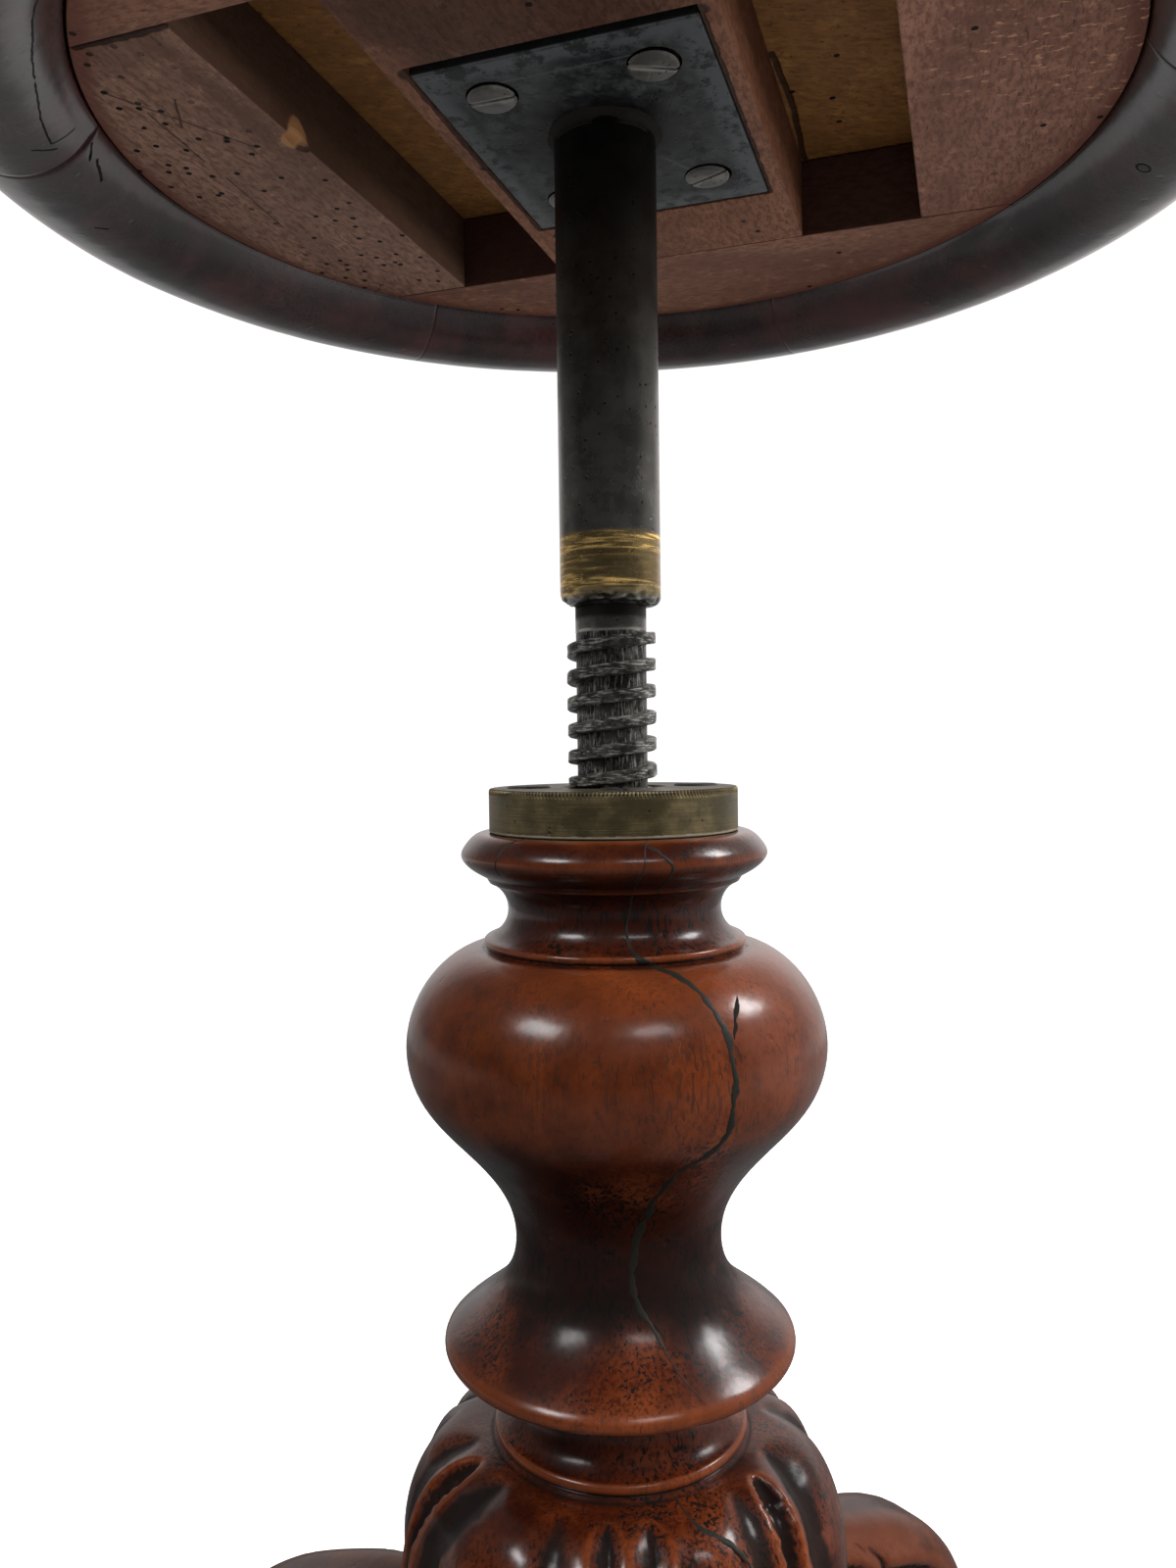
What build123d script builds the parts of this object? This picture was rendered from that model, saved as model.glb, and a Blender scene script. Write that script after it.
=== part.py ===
"""Revolving piano stool: a turned column on three scroll legs, and a round seat on a screw.

Millimetres, +Z up. The origin is on the floor, on the axis of the column. One leg points
along -Y. The seat is drawn where it stood when it was measured: raised on its screw, with
the cross rail turned RAIL_TURN from +X.

The lower turning and the legs are given as heights above the floor. The upper turning is
given as drops below COLUMN_TOP, so that a longer or shorter waist carries it up or down.
"""
from build123d import *
import os
from math import cos, radians, sin

# ---------------------------------------------------------------- driving dimensions
# Fits
GLUE_LINE = 0.3          # gap at a glued or butted joint between two boards
SEAT_GAP = 0.15          # gap at a face that is screwed down hard
RUNNING_GAP = 0.5        # play round a part that turns or slides

# Turned column: the radius of each member, with its drop below the column's top ...
COLUMN_TOP = 366.5       # seat of the brass collar
RING_R, RING_DROP = 43.6, 6.3
NECK_R, NECK_DROP = 30.5, 21.5
FILLET_R, FILLET_DROP = 37.0, 30.5
BULB_R, BULB_DROP = 59.9, 59.5
# ... or with its height above the floor
WAIST_R, WAIST_Z = 29.7, 250.0
FLANGE_R, FLANGE_Z = 50.2, 222.5
BEAD_R, BEAD_Z = 36.6, 196.2
VASE_R, VASE_Z = 64.5, 158.0
BLOCK_R, BLOCK_TOP, BLOCK_BOTTOM = 47.0, 124.0, 58.0

# Screw, nut and stop
THREAD_D = 25.4          # over the crests of the square thread
SHANK_D = 28.6
SHANK_LIFT = 51.5        # from the collar's top up to the shank's shoulder
SHANK_LENGTH = 130.9     # from that shoulder up to the iron plate
NECK_D, NECK_LENGTH = 20.0, 5.0
THREAD_PITCH = 7.5
TURNS_UP = 3             # turns left before the stop washer meets the nut
COLLAR_D, COLLAR_HEIGHT = 71.0, 12.5
SLEEVE_D, SLEEVE_LENGTH = 40.0, 54.0
COUNTERBORE_DEPTH = 20.0
WELL_BOTTOM = 203.0      # bottom of the bore in the column
WASHER_THICKNESS = 4.0
STOP_HEAD_D, STOP_HEAD_HEIGHT = 20.0, 3.5
STOP_SCREW_D, STOP_SCREW_LENGTH = 8.0, 18.0

# Wood screws: head diameter, head height, shank diameter, length
COLLAR_SCREW = (13.0, 3.6, 5.0, 27.0)
PLATE_SCREW = (13.5, 3.6, 5.5, 20.0)
STRAP_SCREW = (9.0, 2.4, 4.0, 20.0)
SCREW_PROUD = 0.6
COLLAR_SCREW_R, COLLAR_SCREW_TURN = 24.0, -3.5

# Iron plate on top of the screw
PLATE_LENGTH, PLATE_WIDTH, PLATE_THICKNESS = 93.6, 75.5, 6.0
PLATE_OFFSET = 2.0       # how far the plate's middle lies past the screw, along the rail
PLATE_SCREWS_LONG, PLATE_SCREWS_WIDE = 61.0, 44.0
PLATE_GAP = 3.5          # the recess is longer than the plate, at its near end

# Seat frame: four boards round a square hole, and a cross rail over the hole
RAIL_TURN = 63.0
FRAME_THICKNESS = 25.0
FRAME_R = 138.0
HOLE_LONG, HOLE_WIDE = 168.5, 163.0
RAIL_WIDTH = 86.0
BOARD_THICKNESS = 9.0

# Rim moulding
RIM_R = 182.0
RIM_DROP = 13.8          # how far the moulding hangs below the frame
RIM_JOINTS = (53.2, 108.8, 175.3, 255.5, 333.8)

# Upholstery
PAD_EDGE, PAD_CROWN = 13.0, 32.0
PAD_R = 168.0
GIMP_R = 3.5

# Legs
LEG_TURNS = (270, 30, 150)
LEG_THICKNESS = 32.0     # of the root, between the housings' cheeks
KNEE_REACH, KNEE_TOP = 160.0, 128.5
KNEE_WIDTH, ANKLE_WIDTH = 36.0, 23.0
TOE_REACH, TOE_R, TOE_WIDTH, TOE_FLAT = 196.0, 15.0, 30.0, 2.0
DOVETAIL_DEPTH, DOVETAIL_NARROW, DOVETAIL_WIDE = 13.0, 13.0, 18.0
DOVETAIL_TOP = 112.0
STRAP_THICKNESS, STRAP_WIDTH, STRAP_REACH = 3.0, 20.0, 76.0
STRAP_HOLES = (58.0, 70.0)

# ---------------------------------------------------------------- worked out from those
collar_top = COLUMN_TOP + COLLAR_HEIGHT
ring_z = COLUMN_TOP - RING_DROP
neck_z = COLUMN_TOP - NECK_DROP
fillet_z = COLUMN_TOP - FILLET_DROP
bulb_z = COLUMN_TOP - BULB_DROP
shank_end = collar_top + SHANK_LIFT
frame_underside = shank_end + SHANK_LENGTH
rim_bottom = frame_underside - RIM_DROP
sleeve_bottom = COLUMN_TOP - SLEEVE_LENGTH
counterbore_bottom = collar_top - COUNTERBORE_DEPTH
travel_up = TURNS_UP * THREAD_PITCH
thread_bottom = sleeve_bottom - travel_up - RUNNING_GAP
washer_bottom = thread_bottom - WASHER_THICKNESS
plate_top = frame_underside + PLATE_THICKNESS
board_bottom = frame_underside + FRAME_THICKNESS + GLUE_LINE
board_top = board_bottom + BOARD_THICKNESS
rim_top = board_top
rim_inner = FRAME_R + GLUE_LINE
leg_seat = BLOCK_R - 3.5
bore_r = THREAD_D / 2 + 2.3


def upright(angle):
    """The upright half plane that leaves the axis at this angle: x outwards, y up."""
    turn = radians(angle)
    return Plane(origin=(0, 0, 0), x_dir=(cos(turn), sin(turn), 0), z_dir=(sin(turn), -cos(turn), 0))


def level(height, angle=0.0):
    """The level plane at this height, with x turned to this angle."""
    turn = radians(angle)
    return Plane(origin=(0, 0, height), x_dir=(cos(turn), sin(turn), 0), z_dir=(0, 0, 1))


def wood_screw(size, proud=SCREW_PROUD):
    """A slotted countersunk screw that points down, with its head's rim at the origin."""
    head_d, head_height, shank_d, length = size
    with BuildPart() as screw:
        with BuildSketch(Plane.XZ):
            with BuildLine():
                Polyline((0, proud), (head_d / 2 - 0.8, proud), (head_d / 2, 0),
                         (shank_d / 2, -head_height), (shank_d / 2, 3.0 - length), (0, -length))
                Line((0, -length), (0, proud))
            make_face()
        revolve(axis=Axis.Z)
        with Locations((0, 0, proud)):
            Box(head_d, 1.3, 2.4, mode=Mode.SUBTRACT)
    return screw.part


def screw_hole(size):
    """The space that a screw of this size needs, a little larger all round."""
    head_d, head_height, shank_d, length = size
    with BuildPart() as hole:
        with BuildSketch(Plane.XZ):
            with BuildLine():
                Polyline((0, 2.0), (head_d / 2 + SEAT_GAP, 2.0), (head_d / 2 + SEAT_GAP, 0),
                         (shank_d / 2 + SEAT_GAP, -head_height), (shank_d / 2 + SEAT_GAP, -length),
                         (0, -length - 0.5))
                Line((0, -length - 0.5), (0, 2.0))
            make_face()
        revolve(axis=Axis.Z)
    return hole.part


def collar_screw_places():
    """The four places of the collar's screws, round the axis."""
    return PolarLocations(COLLAR_SCREW_R, 4, start_angle=COLLAR_SCREW_TURN)


def save(builder, name):
    """Label a finished piece and write it."""
    builder.part.label = name
    export_step(builder.part, f"parts/{name}.step")


os.makedirs("parts", exist_ok=True)

strap_places = [
    level(BLOCK_BOTTOM - STRAP_THICKNESS, turn).from_local_coords((reach, 0, 0))
    for turn in LEG_TURNS for reach in STRAP_HOLES
]

# ---------------------------------------------------------------- column
with BuildPart() as column:
    with BuildSketch(Plane.XZ):
        with BuildLine():
            Line((0, BLOCK_BOTTOM), (0, COLUMN_TOP))
            Line((0, COLUMN_TOP), (RING_R - 5.4, COLUMN_TOP))
            ThreePointArc((RING_R - 5.4, COLUMN_TOP), (RING_R, ring_z), (RING_R - 5.8, ring_z - 7.0))
            Line((RING_R - 5.8, ring_z - 7.0), (RING_R - 7.2, ring_z - 7.6))
            ThreePointArc((RING_R - 7.2, ring_z - 7.6), (NECK_R, neck_z), (FILLET_R - 0.4, fillet_z + 0.8))
            ThreePointArc((FILLET_R - 0.4, fillet_z + 0.8), (FILLET_R + 0.5, fillet_z - 0.5),
                          (FILLET_R - 0.6, fillet_z - 1.5))
            Line((FILLET_R - 0.6, fillet_z - 1.5), (FILLET_R + 0.9, fillet_z - 2.1))
            Spline((FILLET_R + 0.9, fillet_z - 2.1), (BULB_R - 9.5, bulb_z + 21.2),
                   (BULB_R - 2.4, bulb_z + 11.0), (BULB_R, bulb_z),
                   (BULB_R - 3.0, bulb_z - 13.0), (BULB_R - 12.3, bulb_z - 25.0),
                   (WAIST_R + 7.5, WAIST_Z + 20.0), (WAIST_R + 1.2, WAIST_Z + 8.0), (WAIST_R, WAIST_Z),
                   (WAIST_R + 2.1, WAIST_Z - 10.0), (WAIST_R + 11.0, FLANGE_Z + 7.5), (FLANGE_R, FLANGE_Z),
                   tangents=((1, 0.02), (0.72, -0.7)))
            Polyline((FLANGE_R, FLANGE_Z), (FLANGE_R + 0.2, FLANGE_Z - 0.9),
                     (FLANGE_R - 1.2, FLANGE_Z - 3.8), (BEAD_R + 2.4, FLANGE_Z - 5.5))
            ThreePointArc((BEAD_R + 2.4, FLANGE_Z - 5.5), (BEAD_R - 6.4, BEAD_Z + 14.0),
                          (BEAD_R - 1.6, BEAD_Z + 1.6))
            ThreePointArc((BEAD_R - 1.6, BEAD_Z + 1.6), (BEAD_R, BEAD_Z), (BEAD_R - 1.4, BEAD_Z - 1.7))
            Line((BEAD_R - 1.4, BEAD_Z - 1.7), (BEAD_R + 0.8, BEAD_Z - 2.8))
            Spline((BEAD_R + 0.8, BEAD_Z - 2.8), (VASE_R - 12.0, VASE_Z + 31.5),
                   (VASE_R - 3.6, VASE_Z + 20.0), (VASE_R, VASE_Z),
                   (VASE_R - 5.0, VASE_Z - 20.0), (BLOCK_R, BLOCK_TOP),
                   tangents=((1, 0.0), (-0.9, -0.5)))
            Polyline((BLOCK_R, BLOCK_TOP), (BLOCK_R, BLOCK_BOTTOM), (0, BLOCK_BOTTOM))
        make_face()
    revolve(axis=Axis.Z)
    # Stepped bore for the nut's sleeve and, below it, for the screw and its stop
    with BuildSketch(level(sleeve_bottom - SEAT_GAP)):
        Circle(SLEEVE_D / 2 + SEAT_GAP)
    extrude(amount=COLUMN_TOP - sleeve_bottom + SEAT_GAP, mode=Mode.SUBTRACT)
    with BuildSketch(level(WELL_BOTTOM)):
        Circle(bore_r)
    extrude(amount=COLUMN_TOP - WELL_BOTTOM, mode=Mode.SUBTRACT)
    with Locations((0, 0, collar_top)), collar_screw_places():
        add(screw_hole(COLLAR_SCREW), mode=Mode.SUBTRACT)
    # A flat and a dovetail housing for each leg, open at the bottom
    for turn in LEG_TURNS:
        with BuildSketch(level(BLOCK_BOTTOM, turn)):
            with Locations((leg_seat + 10, 0)):
                Rectangle(20, LEG_THICKNESS + 2 * GLUE_LINE)
        extrude(amount=BLOCK_TOP - BLOCK_BOTTOM - 2.0, mode=Mode.SUBTRACT)
        with BuildSketch(level(BLOCK_BOTTOM, turn)):
            with BuildLine():
                Polyline((leg_seat + 1, DOVETAIL_NARROW / 2 + GLUE_LINE),
                         (leg_seat, DOVETAIL_NARROW / 2 + GLUE_LINE),
                         (leg_seat - DOVETAIL_DEPTH - GLUE_LINE, DOVETAIL_WIDE / 2 + GLUE_LINE),
                         (leg_seat - DOVETAIL_DEPTH - GLUE_LINE, -DOVETAIL_WIDE / 2 - GLUE_LINE),
                         (leg_seat, -DOVETAIL_NARROW / 2 - GLUE_LINE),
                         (leg_seat + 1, -DOVETAIL_NARROW / 2 - GLUE_LINE), close=True)
            make_face()
        extrude(amount=DOVETAIL_TOP - BLOCK_BOTTOM + GLUE_LINE, mode=Mode.SUBTRACT)
save(column, "column")

# ---------------------------------------------------------------- brass collar and its nut
with BuildPart() as collar_nut:
    with BuildSketch(Plane.XZ):
        with BuildLine():
            inner = THREAD_D / 2 + RUNNING_GAP
            mouth = SHANK_D / 2 + RUNNING_GAP
            Polyline((inner, sleeve_bottom), (SLEEVE_D / 2, sleeve_bottom),
                     (SLEEVE_D / 2, COLUMN_TOP + SEAT_GAP), (COLLAR_D / 2, COLUMN_TOP + SEAT_GAP),
                     (COLLAR_D / 2, collar_top - 0.7), (COLLAR_D / 2 - 0.7, collar_top),
                     (mouth + 0.6, collar_top), (mouth, collar_top - 0.6),
                     (mouth, counterbore_bottom), (inner, counterbore_bottom - 1.5), close=True)
        make_face()
    revolve(axis=Axis.Z)
    with Locations((0, 0, collar_top)), collar_screw_places():
        add(screw_hole(COLLAR_SCREW), mode=Mode.SUBTRACT)
save(collar_nut, "collar_nut")

with BuildPart() as collar_screws:
    with Locations((0, 0, collar_top)), collar_screw_places():
        add(wood_screw(COLLAR_SCREW))
save(collar_screws, "collar_screws")

# ---------------------------------------------------------------- legs
# Each station is the outer edge and the inner edge of the leg's side outline, then its width
toe_z = TOE_R - TOE_FLAT
toe_r = TOE_REACH - TOE_R
root_end = leg_seat + SEAT_GAP
leg_stations = (
    ((leg_seat + 6.0, KNEE_TOP - 5.0), (leg_seat + 6.0, BLOCK_BOTTOM + 4.0), LEG_THICKNESS - 1.0),
    ((62.0, KNEE_TOP - 1.0), (62.0, BLOCK_BOTTOM + 3.0), LEG_THICKNESS + 1.0),
    ((81.0, KNEE_TOP), (78.0, BLOCK_BOTTOM + 6.0), KNEE_WIDTH - 1.5),
    ((KNEE_REACH - 59.0, KNEE_TOP - 4.0), (KNEE_REACH - 69.0, BLOCK_BOTTOM + 19.0), KNEE_WIDTH),
    ((KNEE_REACH - 38.5, KNEE_TOP - 11.5), (KNEE_REACH - 56.0, KNEE_TOP - 41.5), KNEE_WIDTH),
    ((KNEE_REACH - 22.0, KNEE_TOP - 22.5), (KNEE_REACH - 43.0, KNEE_TOP - 44.0), KNEE_WIDTH - 2.0),
    ((KNEE_REACH - 8.5, KNEE_TOP - 38.5), (KNEE_REACH - 32.5, KNEE_TOP - 55.5), KNEE_WIDTH - 5.0),
    ((KNEE_REACH - 1.0, KNEE_TOP - 57.0), (KNEE_REACH - 28.0, KNEE_TOP - 67.5), KNEE_WIDTH - 9.0),
    ((KNEE_REACH, 54.0), (KNEE_REACH - 25.0, 47.0), ANKLE_WIDTH + 1.0),
    ((KNEE_REACH + 0.5, 40.0), (KNEE_REACH - 20.5, 32.0), ANKLE_WIDTH),
    ((toe_r - 14.5, 31.5), (toe_r - 34.0, 17.5), ANKLE_WIDTH + 1.5),
    ((toe_r - 5.0, toe_z + TOE_R - 1.5), (toe_r - 17.0, 6.0), ANKLE_WIDTH + 3.0),
    ((toe_r + 3.0, toe_z + TOE_R - 4.0), (toe_r, 4.0), ANKLE_WIDTH + 4.0),
)
for number, turn in enumerate(LEG_TURNS, start=1):
    side = upright(turn)
    with BuildPart() as leg:
        for outer, inner, width in leg_stations:
            outer_point = side.from_local_coords((*outer, 0))
            inner_point = side.from_local_coords((*inner, 0))
            across = outer_point - inner_point
            middle = (outer_point + inner_point) * 0.5
            with BuildSketch(Plane(origin=middle, x_dir=across, z_dir=across.cross(side.z_dir))):
                RectangleRounded(across.length, width, 0.36 * min(across.length, width))
        loft()
        # Planed flat below, where the strap lies
        with BuildSketch(level(BLOCK_BOTTOM, turn)):
            with Locations((STRAP_REACH / 2, 0)):
                Rectangle(STRAP_REACH + 2.0, 2 * KNEE_WIDTH)
        extrude(amount=-BLOCK_BOTTOM / 2, mode=Mode.SUBTRACT)
        # Root with its flat end and flat bottom, and the dovetail
        with BuildSketch(side):
            with BuildLine():
                Polyline((root_end, DOVETAIL_TOP), (root_end, BLOCK_BOTTOM),
                         (STRAP_REACH + 1.0, BLOCK_BOTTOM))
                TangentArc((STRAP_REACH + 1.0, BLOCK_BOTTOM), (STRAP_REACH + 15.0, BLOCK_BOTTOM + 17.0),
                           tangent=(1, 0))
                Polyline((STRAP_REACH + 15.0, BLOCK_BOTTOM + 17.0), (STRAP_REACH + 8.0, DOVETAIL_TOP),
                         (root_end, DOVETAIL_TOP))
            make_face()
        extrude(amount=LEG_THICKNESS / 2, both=True)
        with BuildSketch(level(BLOCK_BOTTOM, turn)):
            with BuildLine():
                Polyline((leg_seat + 2, DOVETAIL_NARROW / 2), (leg_seat, DOVETAIL_NARROW / 2),
                         (leg_seat - DOVETAIL_DEPTH, DOVETAIL_WIDE / 2),
                         (leg_seat - DOVETAIL_DEPTH, -DOVETAIL_WIDE / 2),
                         (leg_seat, -DOVETAIL_NARROW / 2),
                         (leg_seat + 2, -DOVETAIL_NARROW / 2), close=True)
            make_face()
        extrude(amount=DOVETAIL_TOP - BLOCK_BOTTOM)
        # Scroll toe, flat where it rests
        with BuildSketch(side):
            with Locations((toe_r, toe_z)):
                Circle(TOE_R)
        extrude(amount=TOE_WIDTH / 2, both=True)
        split(bisect_by=Plane.XY, keep=Keep.TOP)
        for place in strap_places:
            with Locations(Location(place, (180, 0, 0))):
                add(screw_hole(STRAP_SCREW), mode=Mode.SUBTRACT)
    save(leg, f"leg_{number}")

# ---------------------------------------------------------------- iron strap under the column
with BuildPart() as base_strap:
    for turn in LEG_TURNS:
        with BuildSketch(level(BLOCK_BOTTOM - SEAT_GAP, turn)):
            with Locations((STRAP_REACH / 2 - 5, 0)):
                Rectangle(STRAP_REACH + 10 - STRAP_WIDTH, STRAP_WIDTH)
            with Locations((STRAP_REACH - STRAP_WIDTH / 2, 0)):
                Circle(STRAP_WIDTH / 2)
        extrude(amount=-(STRAP_THICKNESS - SEAT_GAP))
    for place in strap_places:
        with Locations(Location(place, (180, 0, 0))):
            add(screw_hole(STRAP_SCREW), mode=Mode.SUBTRACT)
save(base_strap, "base_strap")

with BuildPart() as strap_screws:
    for place in strap_places:
        with Locations(Location(place, (180, 0, 0))):
            add(wood_screw(STRAP_SCREW))
save(strap_screws, "strap_screws")

# ---------------------------------------------------------------- screw and its end stop
with BuildPart() as spindle:
    with BuildSketch(Plane.XZ):
        with BuildLine():
            Polyline((0, thread_bottom), (THREAD_D / 2 - 1.5, thread_bottom),
                     (THREAD_D / 2, thread_bottom + 1.5), (THREAD_D / 2, shank_end - NECK_LENGTH),
                     (NECK_D / 2, shank_end - NECK_LENGTH), (NECK_D / 2, shank_end),
                     (SHANK_D / 2 - 1.2, shank_end), (SHANK_D / 2, shank_end + 1.6),
                     (SHANK_D / 2, plate_top), (0, plate_top), close=True)
        make_face()
    revolve(axis=Axis.Z)
    with BuildSketch(level(thread_bottom)):
        Circle(STOP_SCREW_D / 2 + SEAT_GAP)
    extrude(amount=STOP_SCREW_LENGTH, mode=Mode.SUBTRACT)
save(spindle, "spindle")

with BuildPart() as stop_washer:
    with BuildSketch(level(washer_bottom)):
        Circle(bore_r - RUNNING_GAP)
        Circle(STOP_SCREW_D / 2 + RUNNING_GAP, mode=Mode.SUBTRACT)
    extrude(amount=WASHER_THICKNESS - GLUE_LINE)
save(stop_washer, "stop_washer")

with BuildPart() as stop_screw:
    with BuildSketch(level(washer_bottom - GLUE_LINE)):
        Circle(STOP_HEAD_D / 2)
    extrude(amount=-STOP_HEAD_HEIGHT)
    with BuildSketch(level(washer_bottom - GLUE_LINE)):
        Circle(STOP_SCREW_D / 2)
    extrude(amount=WASHER_THICKNESS + GLUE_LINE + STOP_SCREW_LENGTH - 2.0)
    with Locations((0, 0, washer_bottom - GLUE_LINE - STOP_HEAD_HEIGHT)):
        Box(STOP_HEAD_D, 2.0, 3.0, mode=Mode.SUBTRACT)
save(stop_screw, "stop_screw")

# ---------------------------------------------------------------- iron plate on the screw
plate_screw_places = [
    level(frame_underside, RAIL_TURN).from_local_coords(
        (PLATE_OFFSET + along * PLATE_SCREWS_LONG / 2, across * PLATE_SCREWS_WIDE / 2, 0))
    for along in (-1, 1) for across in (-1, 1)
]
with BuildPart() as spindle_plate:
    with BuildSketch(level(frame_underside, RAIL_TURN)):
        with Locations((PLATE_OFFSET, 0)):
            Rectangle(PLATE_LENGTH, PLATE_WIDTH)
        Circle(SHANK_D / 2 + SEAT_GAP, mode=Mode.SUBTRACT)
    extrude(amount=PLATE_THICKNESS)
    chamfer(spindle_plate.faces().sort_by(Axis.Z)[0].outer_wire().edges(), 0.6)
    for place in plate_screw_places:
        with Locations(Location(place, (180, 0, RAIL_TURN))):
            add(screw_hole(PLATE_SCREW), mode=Mode.SUBTRACT)
save(spindle_plate, "spindle_plate")

with BuildPart() as plate_screws:
    for number, place in enumerate(plate_screw_places):
        with Locations(Location(place, (180, 0, 25 * number))):
            add(wood_screw(PLATE_SCREW))
save(plate_screws, "plate_screws")

# ---------------------------------------------------------------- seat frame
with BuildPart() as cross_rail:
    with BuildSketch(level(frame_underside, RAIL_TURN)):
        Rectangle(HOLE_LONG - 2 * GLUE_LINE, RAIL_WIDTH)
    extrude(amount=FRAME_THICKNESS)
    # Recess that the iron plate is let into, cut long at the near end
    with BuildSketch(level(frame_underside, RAIL_TURN)):
        with Locations((PLATE_OFFSET - PLATE_GAP / 2, 0)):
            Rectangle(PLATE_LENGTH + PLATE_GAP + 2 * GLUE_LINE, PLATE_WIDTH + 2 * GLUE_LINE)
    extrude(amount=PLATE_THICKNESS + SEAT_GAP, mode=Mode.SUBTRACT)
    for place in plate_screw_places:
        with Locations(Location(place, (180, 0, RAIL_TURN))):
            add(screw_hole(PLATE_SCREW), mode=Mode.SUBTRACT)
save(cross_rail, "cross_rail")

for name, side in (("frame_side_left", 1), ("frame_side_right", -1)):
    with BuildPart() as side_board:
        with BuildSketch(level(frame_underside, RAIL_TURN)):
            Circle(FRAME_R)
            with Locations((0, side * (HOLE_WIDE / 2 + FRAME_R) / 2)):
                Rectangle(HOLE_LONG - 2 * GLUE_LINE, FRAME_R - HOLE_WIDE / 2, mode=Mode.INTERSECT)
        extrude(amount=FRAME_THICKNESS)
    save(side_board, name)

for name, side in (("frame_end_far", 1), ("frame_end_near", -1)):
    with BuildPart() as end_board:
        with BuildSketch(level(frame_underside, RAIL_TURN)):
            Circle(FRAME_R)
            with Locations((side * (HOLE_LONG / 2 + FRAME_R) / 2, 0)):
                Rectangle(FRAME_R - HOLE_LONG / 2, 2 * FRAME_R, mode=Mode.INTERSECT)
        extrude(amount=FRAME_THICKNESS)
    save(end_board, name)

with BuildPart() as seat_board:
    with BuildSketch(level(board_bottom)):
        Circle(FRAME_R)
    extrude(amount=BOARD_THICKNESS)
save(seat_board, "seat_board")

# ---------------------------------------------------------------- rim moulding in five lengths
joint_turn = GLUE_LINE / RIM_R * 57.3
for number, start in enumerate(RIM_JOINTS, start=1):
    end = RIM_JOINTS[number % len(RIM_JOINTS)]
    with BuildPart() as rim_segment:
        with BuildSketch(upright(start + joint_turn / 2)):
            with BuildLine():
                Line((rim_inner, rim_top), (rim_inner, frame_underside))
                ThreePointArc((rim_inner, frame_underside), (rim_inner + 7.0, rim_bottom + 4.0),
                              (rim_inner + 22.0, rim_bottom))
                ThreePointArc((rim_inner + 22.0, rim_bottom), (RIM_R - 5.0, rim_bottom + 6.0),
                              (RIM_R, rim_bottom + 20.0))
                Line((RIM_R, rim_bottom + 20.0), (RIM_R - 1.0, rim_top - 8.0))
                ThreePointArc((RIM_R - 1.0, rim_top - 8.0), (RIM_R - 3.4, rim_top - 2.4),
                              (RIM_R - 9.0, rim_top))
                Line((RIM_R - 9.0, rim_top), (rim_inner, rim_top))
            make_face()
        revolve(axis=Axis.Z, revolution_arc=(end - start) % 360 - joint_turn)
    save(rim_segment, f"rim_segment_{number}")

# ---------------------------------------------------------------- upholstered top
pad_bottom = board_top + GLUE_LINE
with BuildPart() as seat_pad:
    with BuildSketch(Plane.XZ):
        with BuildLine():
            Line((0, pad_bottom), (PAD_R - 5.0, pad_bottom))
            ThreePointArc((PAD_R - 5.0, pad_bottom), (PAD_R, pad_bottom + PAD_EDGE / 2),
                          (PAD_R - 3.0, pad_bottom + PAD_EDGE))
            Spline((PAD_R - 3.0, pad_bottom + PAD_EDGE), (PAD_R * 0.55, pad_bottom + PAD_CROWN - 5.0),
                   (0, pad_bottom + PAD_CROWN), tangents=((-0.8, 0.6), (-1, 0)))
            Line((0, pad_bottom + PAD_CROWN), (0, pad_bottom))
        make_face()
    revolve(axis=Axis.Z)
save(seat_pad, "seat_pad")

with BuildPart() as seat_gimp:
    with BuildSketch(upright(0)):
        with Locations((PAD_R + GIMP_R + GLUE_LINE, pad_bottom + GIMP_R)):
            Circle(GIMP_R)
    revolve(axis=Axis.Z)
save(seat_gimp, "seat_gimp")
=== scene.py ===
"""Looks of the revolving piano stool: turned and carved mahogany, worn steel screw, brass collar."""
from math import atan2, cos, degrees, exp, pi, radians, sin, sqrt

import bpy
import numpy as np
from mathutils import Matrix, Vector, noise


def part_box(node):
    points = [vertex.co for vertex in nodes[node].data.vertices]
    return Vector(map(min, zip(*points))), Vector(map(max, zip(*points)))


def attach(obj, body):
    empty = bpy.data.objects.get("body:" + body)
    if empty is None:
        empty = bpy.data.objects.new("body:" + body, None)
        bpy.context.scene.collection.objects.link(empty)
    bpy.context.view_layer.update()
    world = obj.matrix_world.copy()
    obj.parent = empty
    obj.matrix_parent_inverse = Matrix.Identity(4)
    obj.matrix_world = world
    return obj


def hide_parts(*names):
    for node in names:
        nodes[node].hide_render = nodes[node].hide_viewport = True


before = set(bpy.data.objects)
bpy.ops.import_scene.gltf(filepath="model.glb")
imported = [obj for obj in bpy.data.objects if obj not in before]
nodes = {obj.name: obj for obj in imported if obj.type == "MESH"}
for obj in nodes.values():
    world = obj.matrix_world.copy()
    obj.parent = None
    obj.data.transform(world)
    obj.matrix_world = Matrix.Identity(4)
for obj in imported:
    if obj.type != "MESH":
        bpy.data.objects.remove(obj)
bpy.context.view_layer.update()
MM = 0.001

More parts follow.
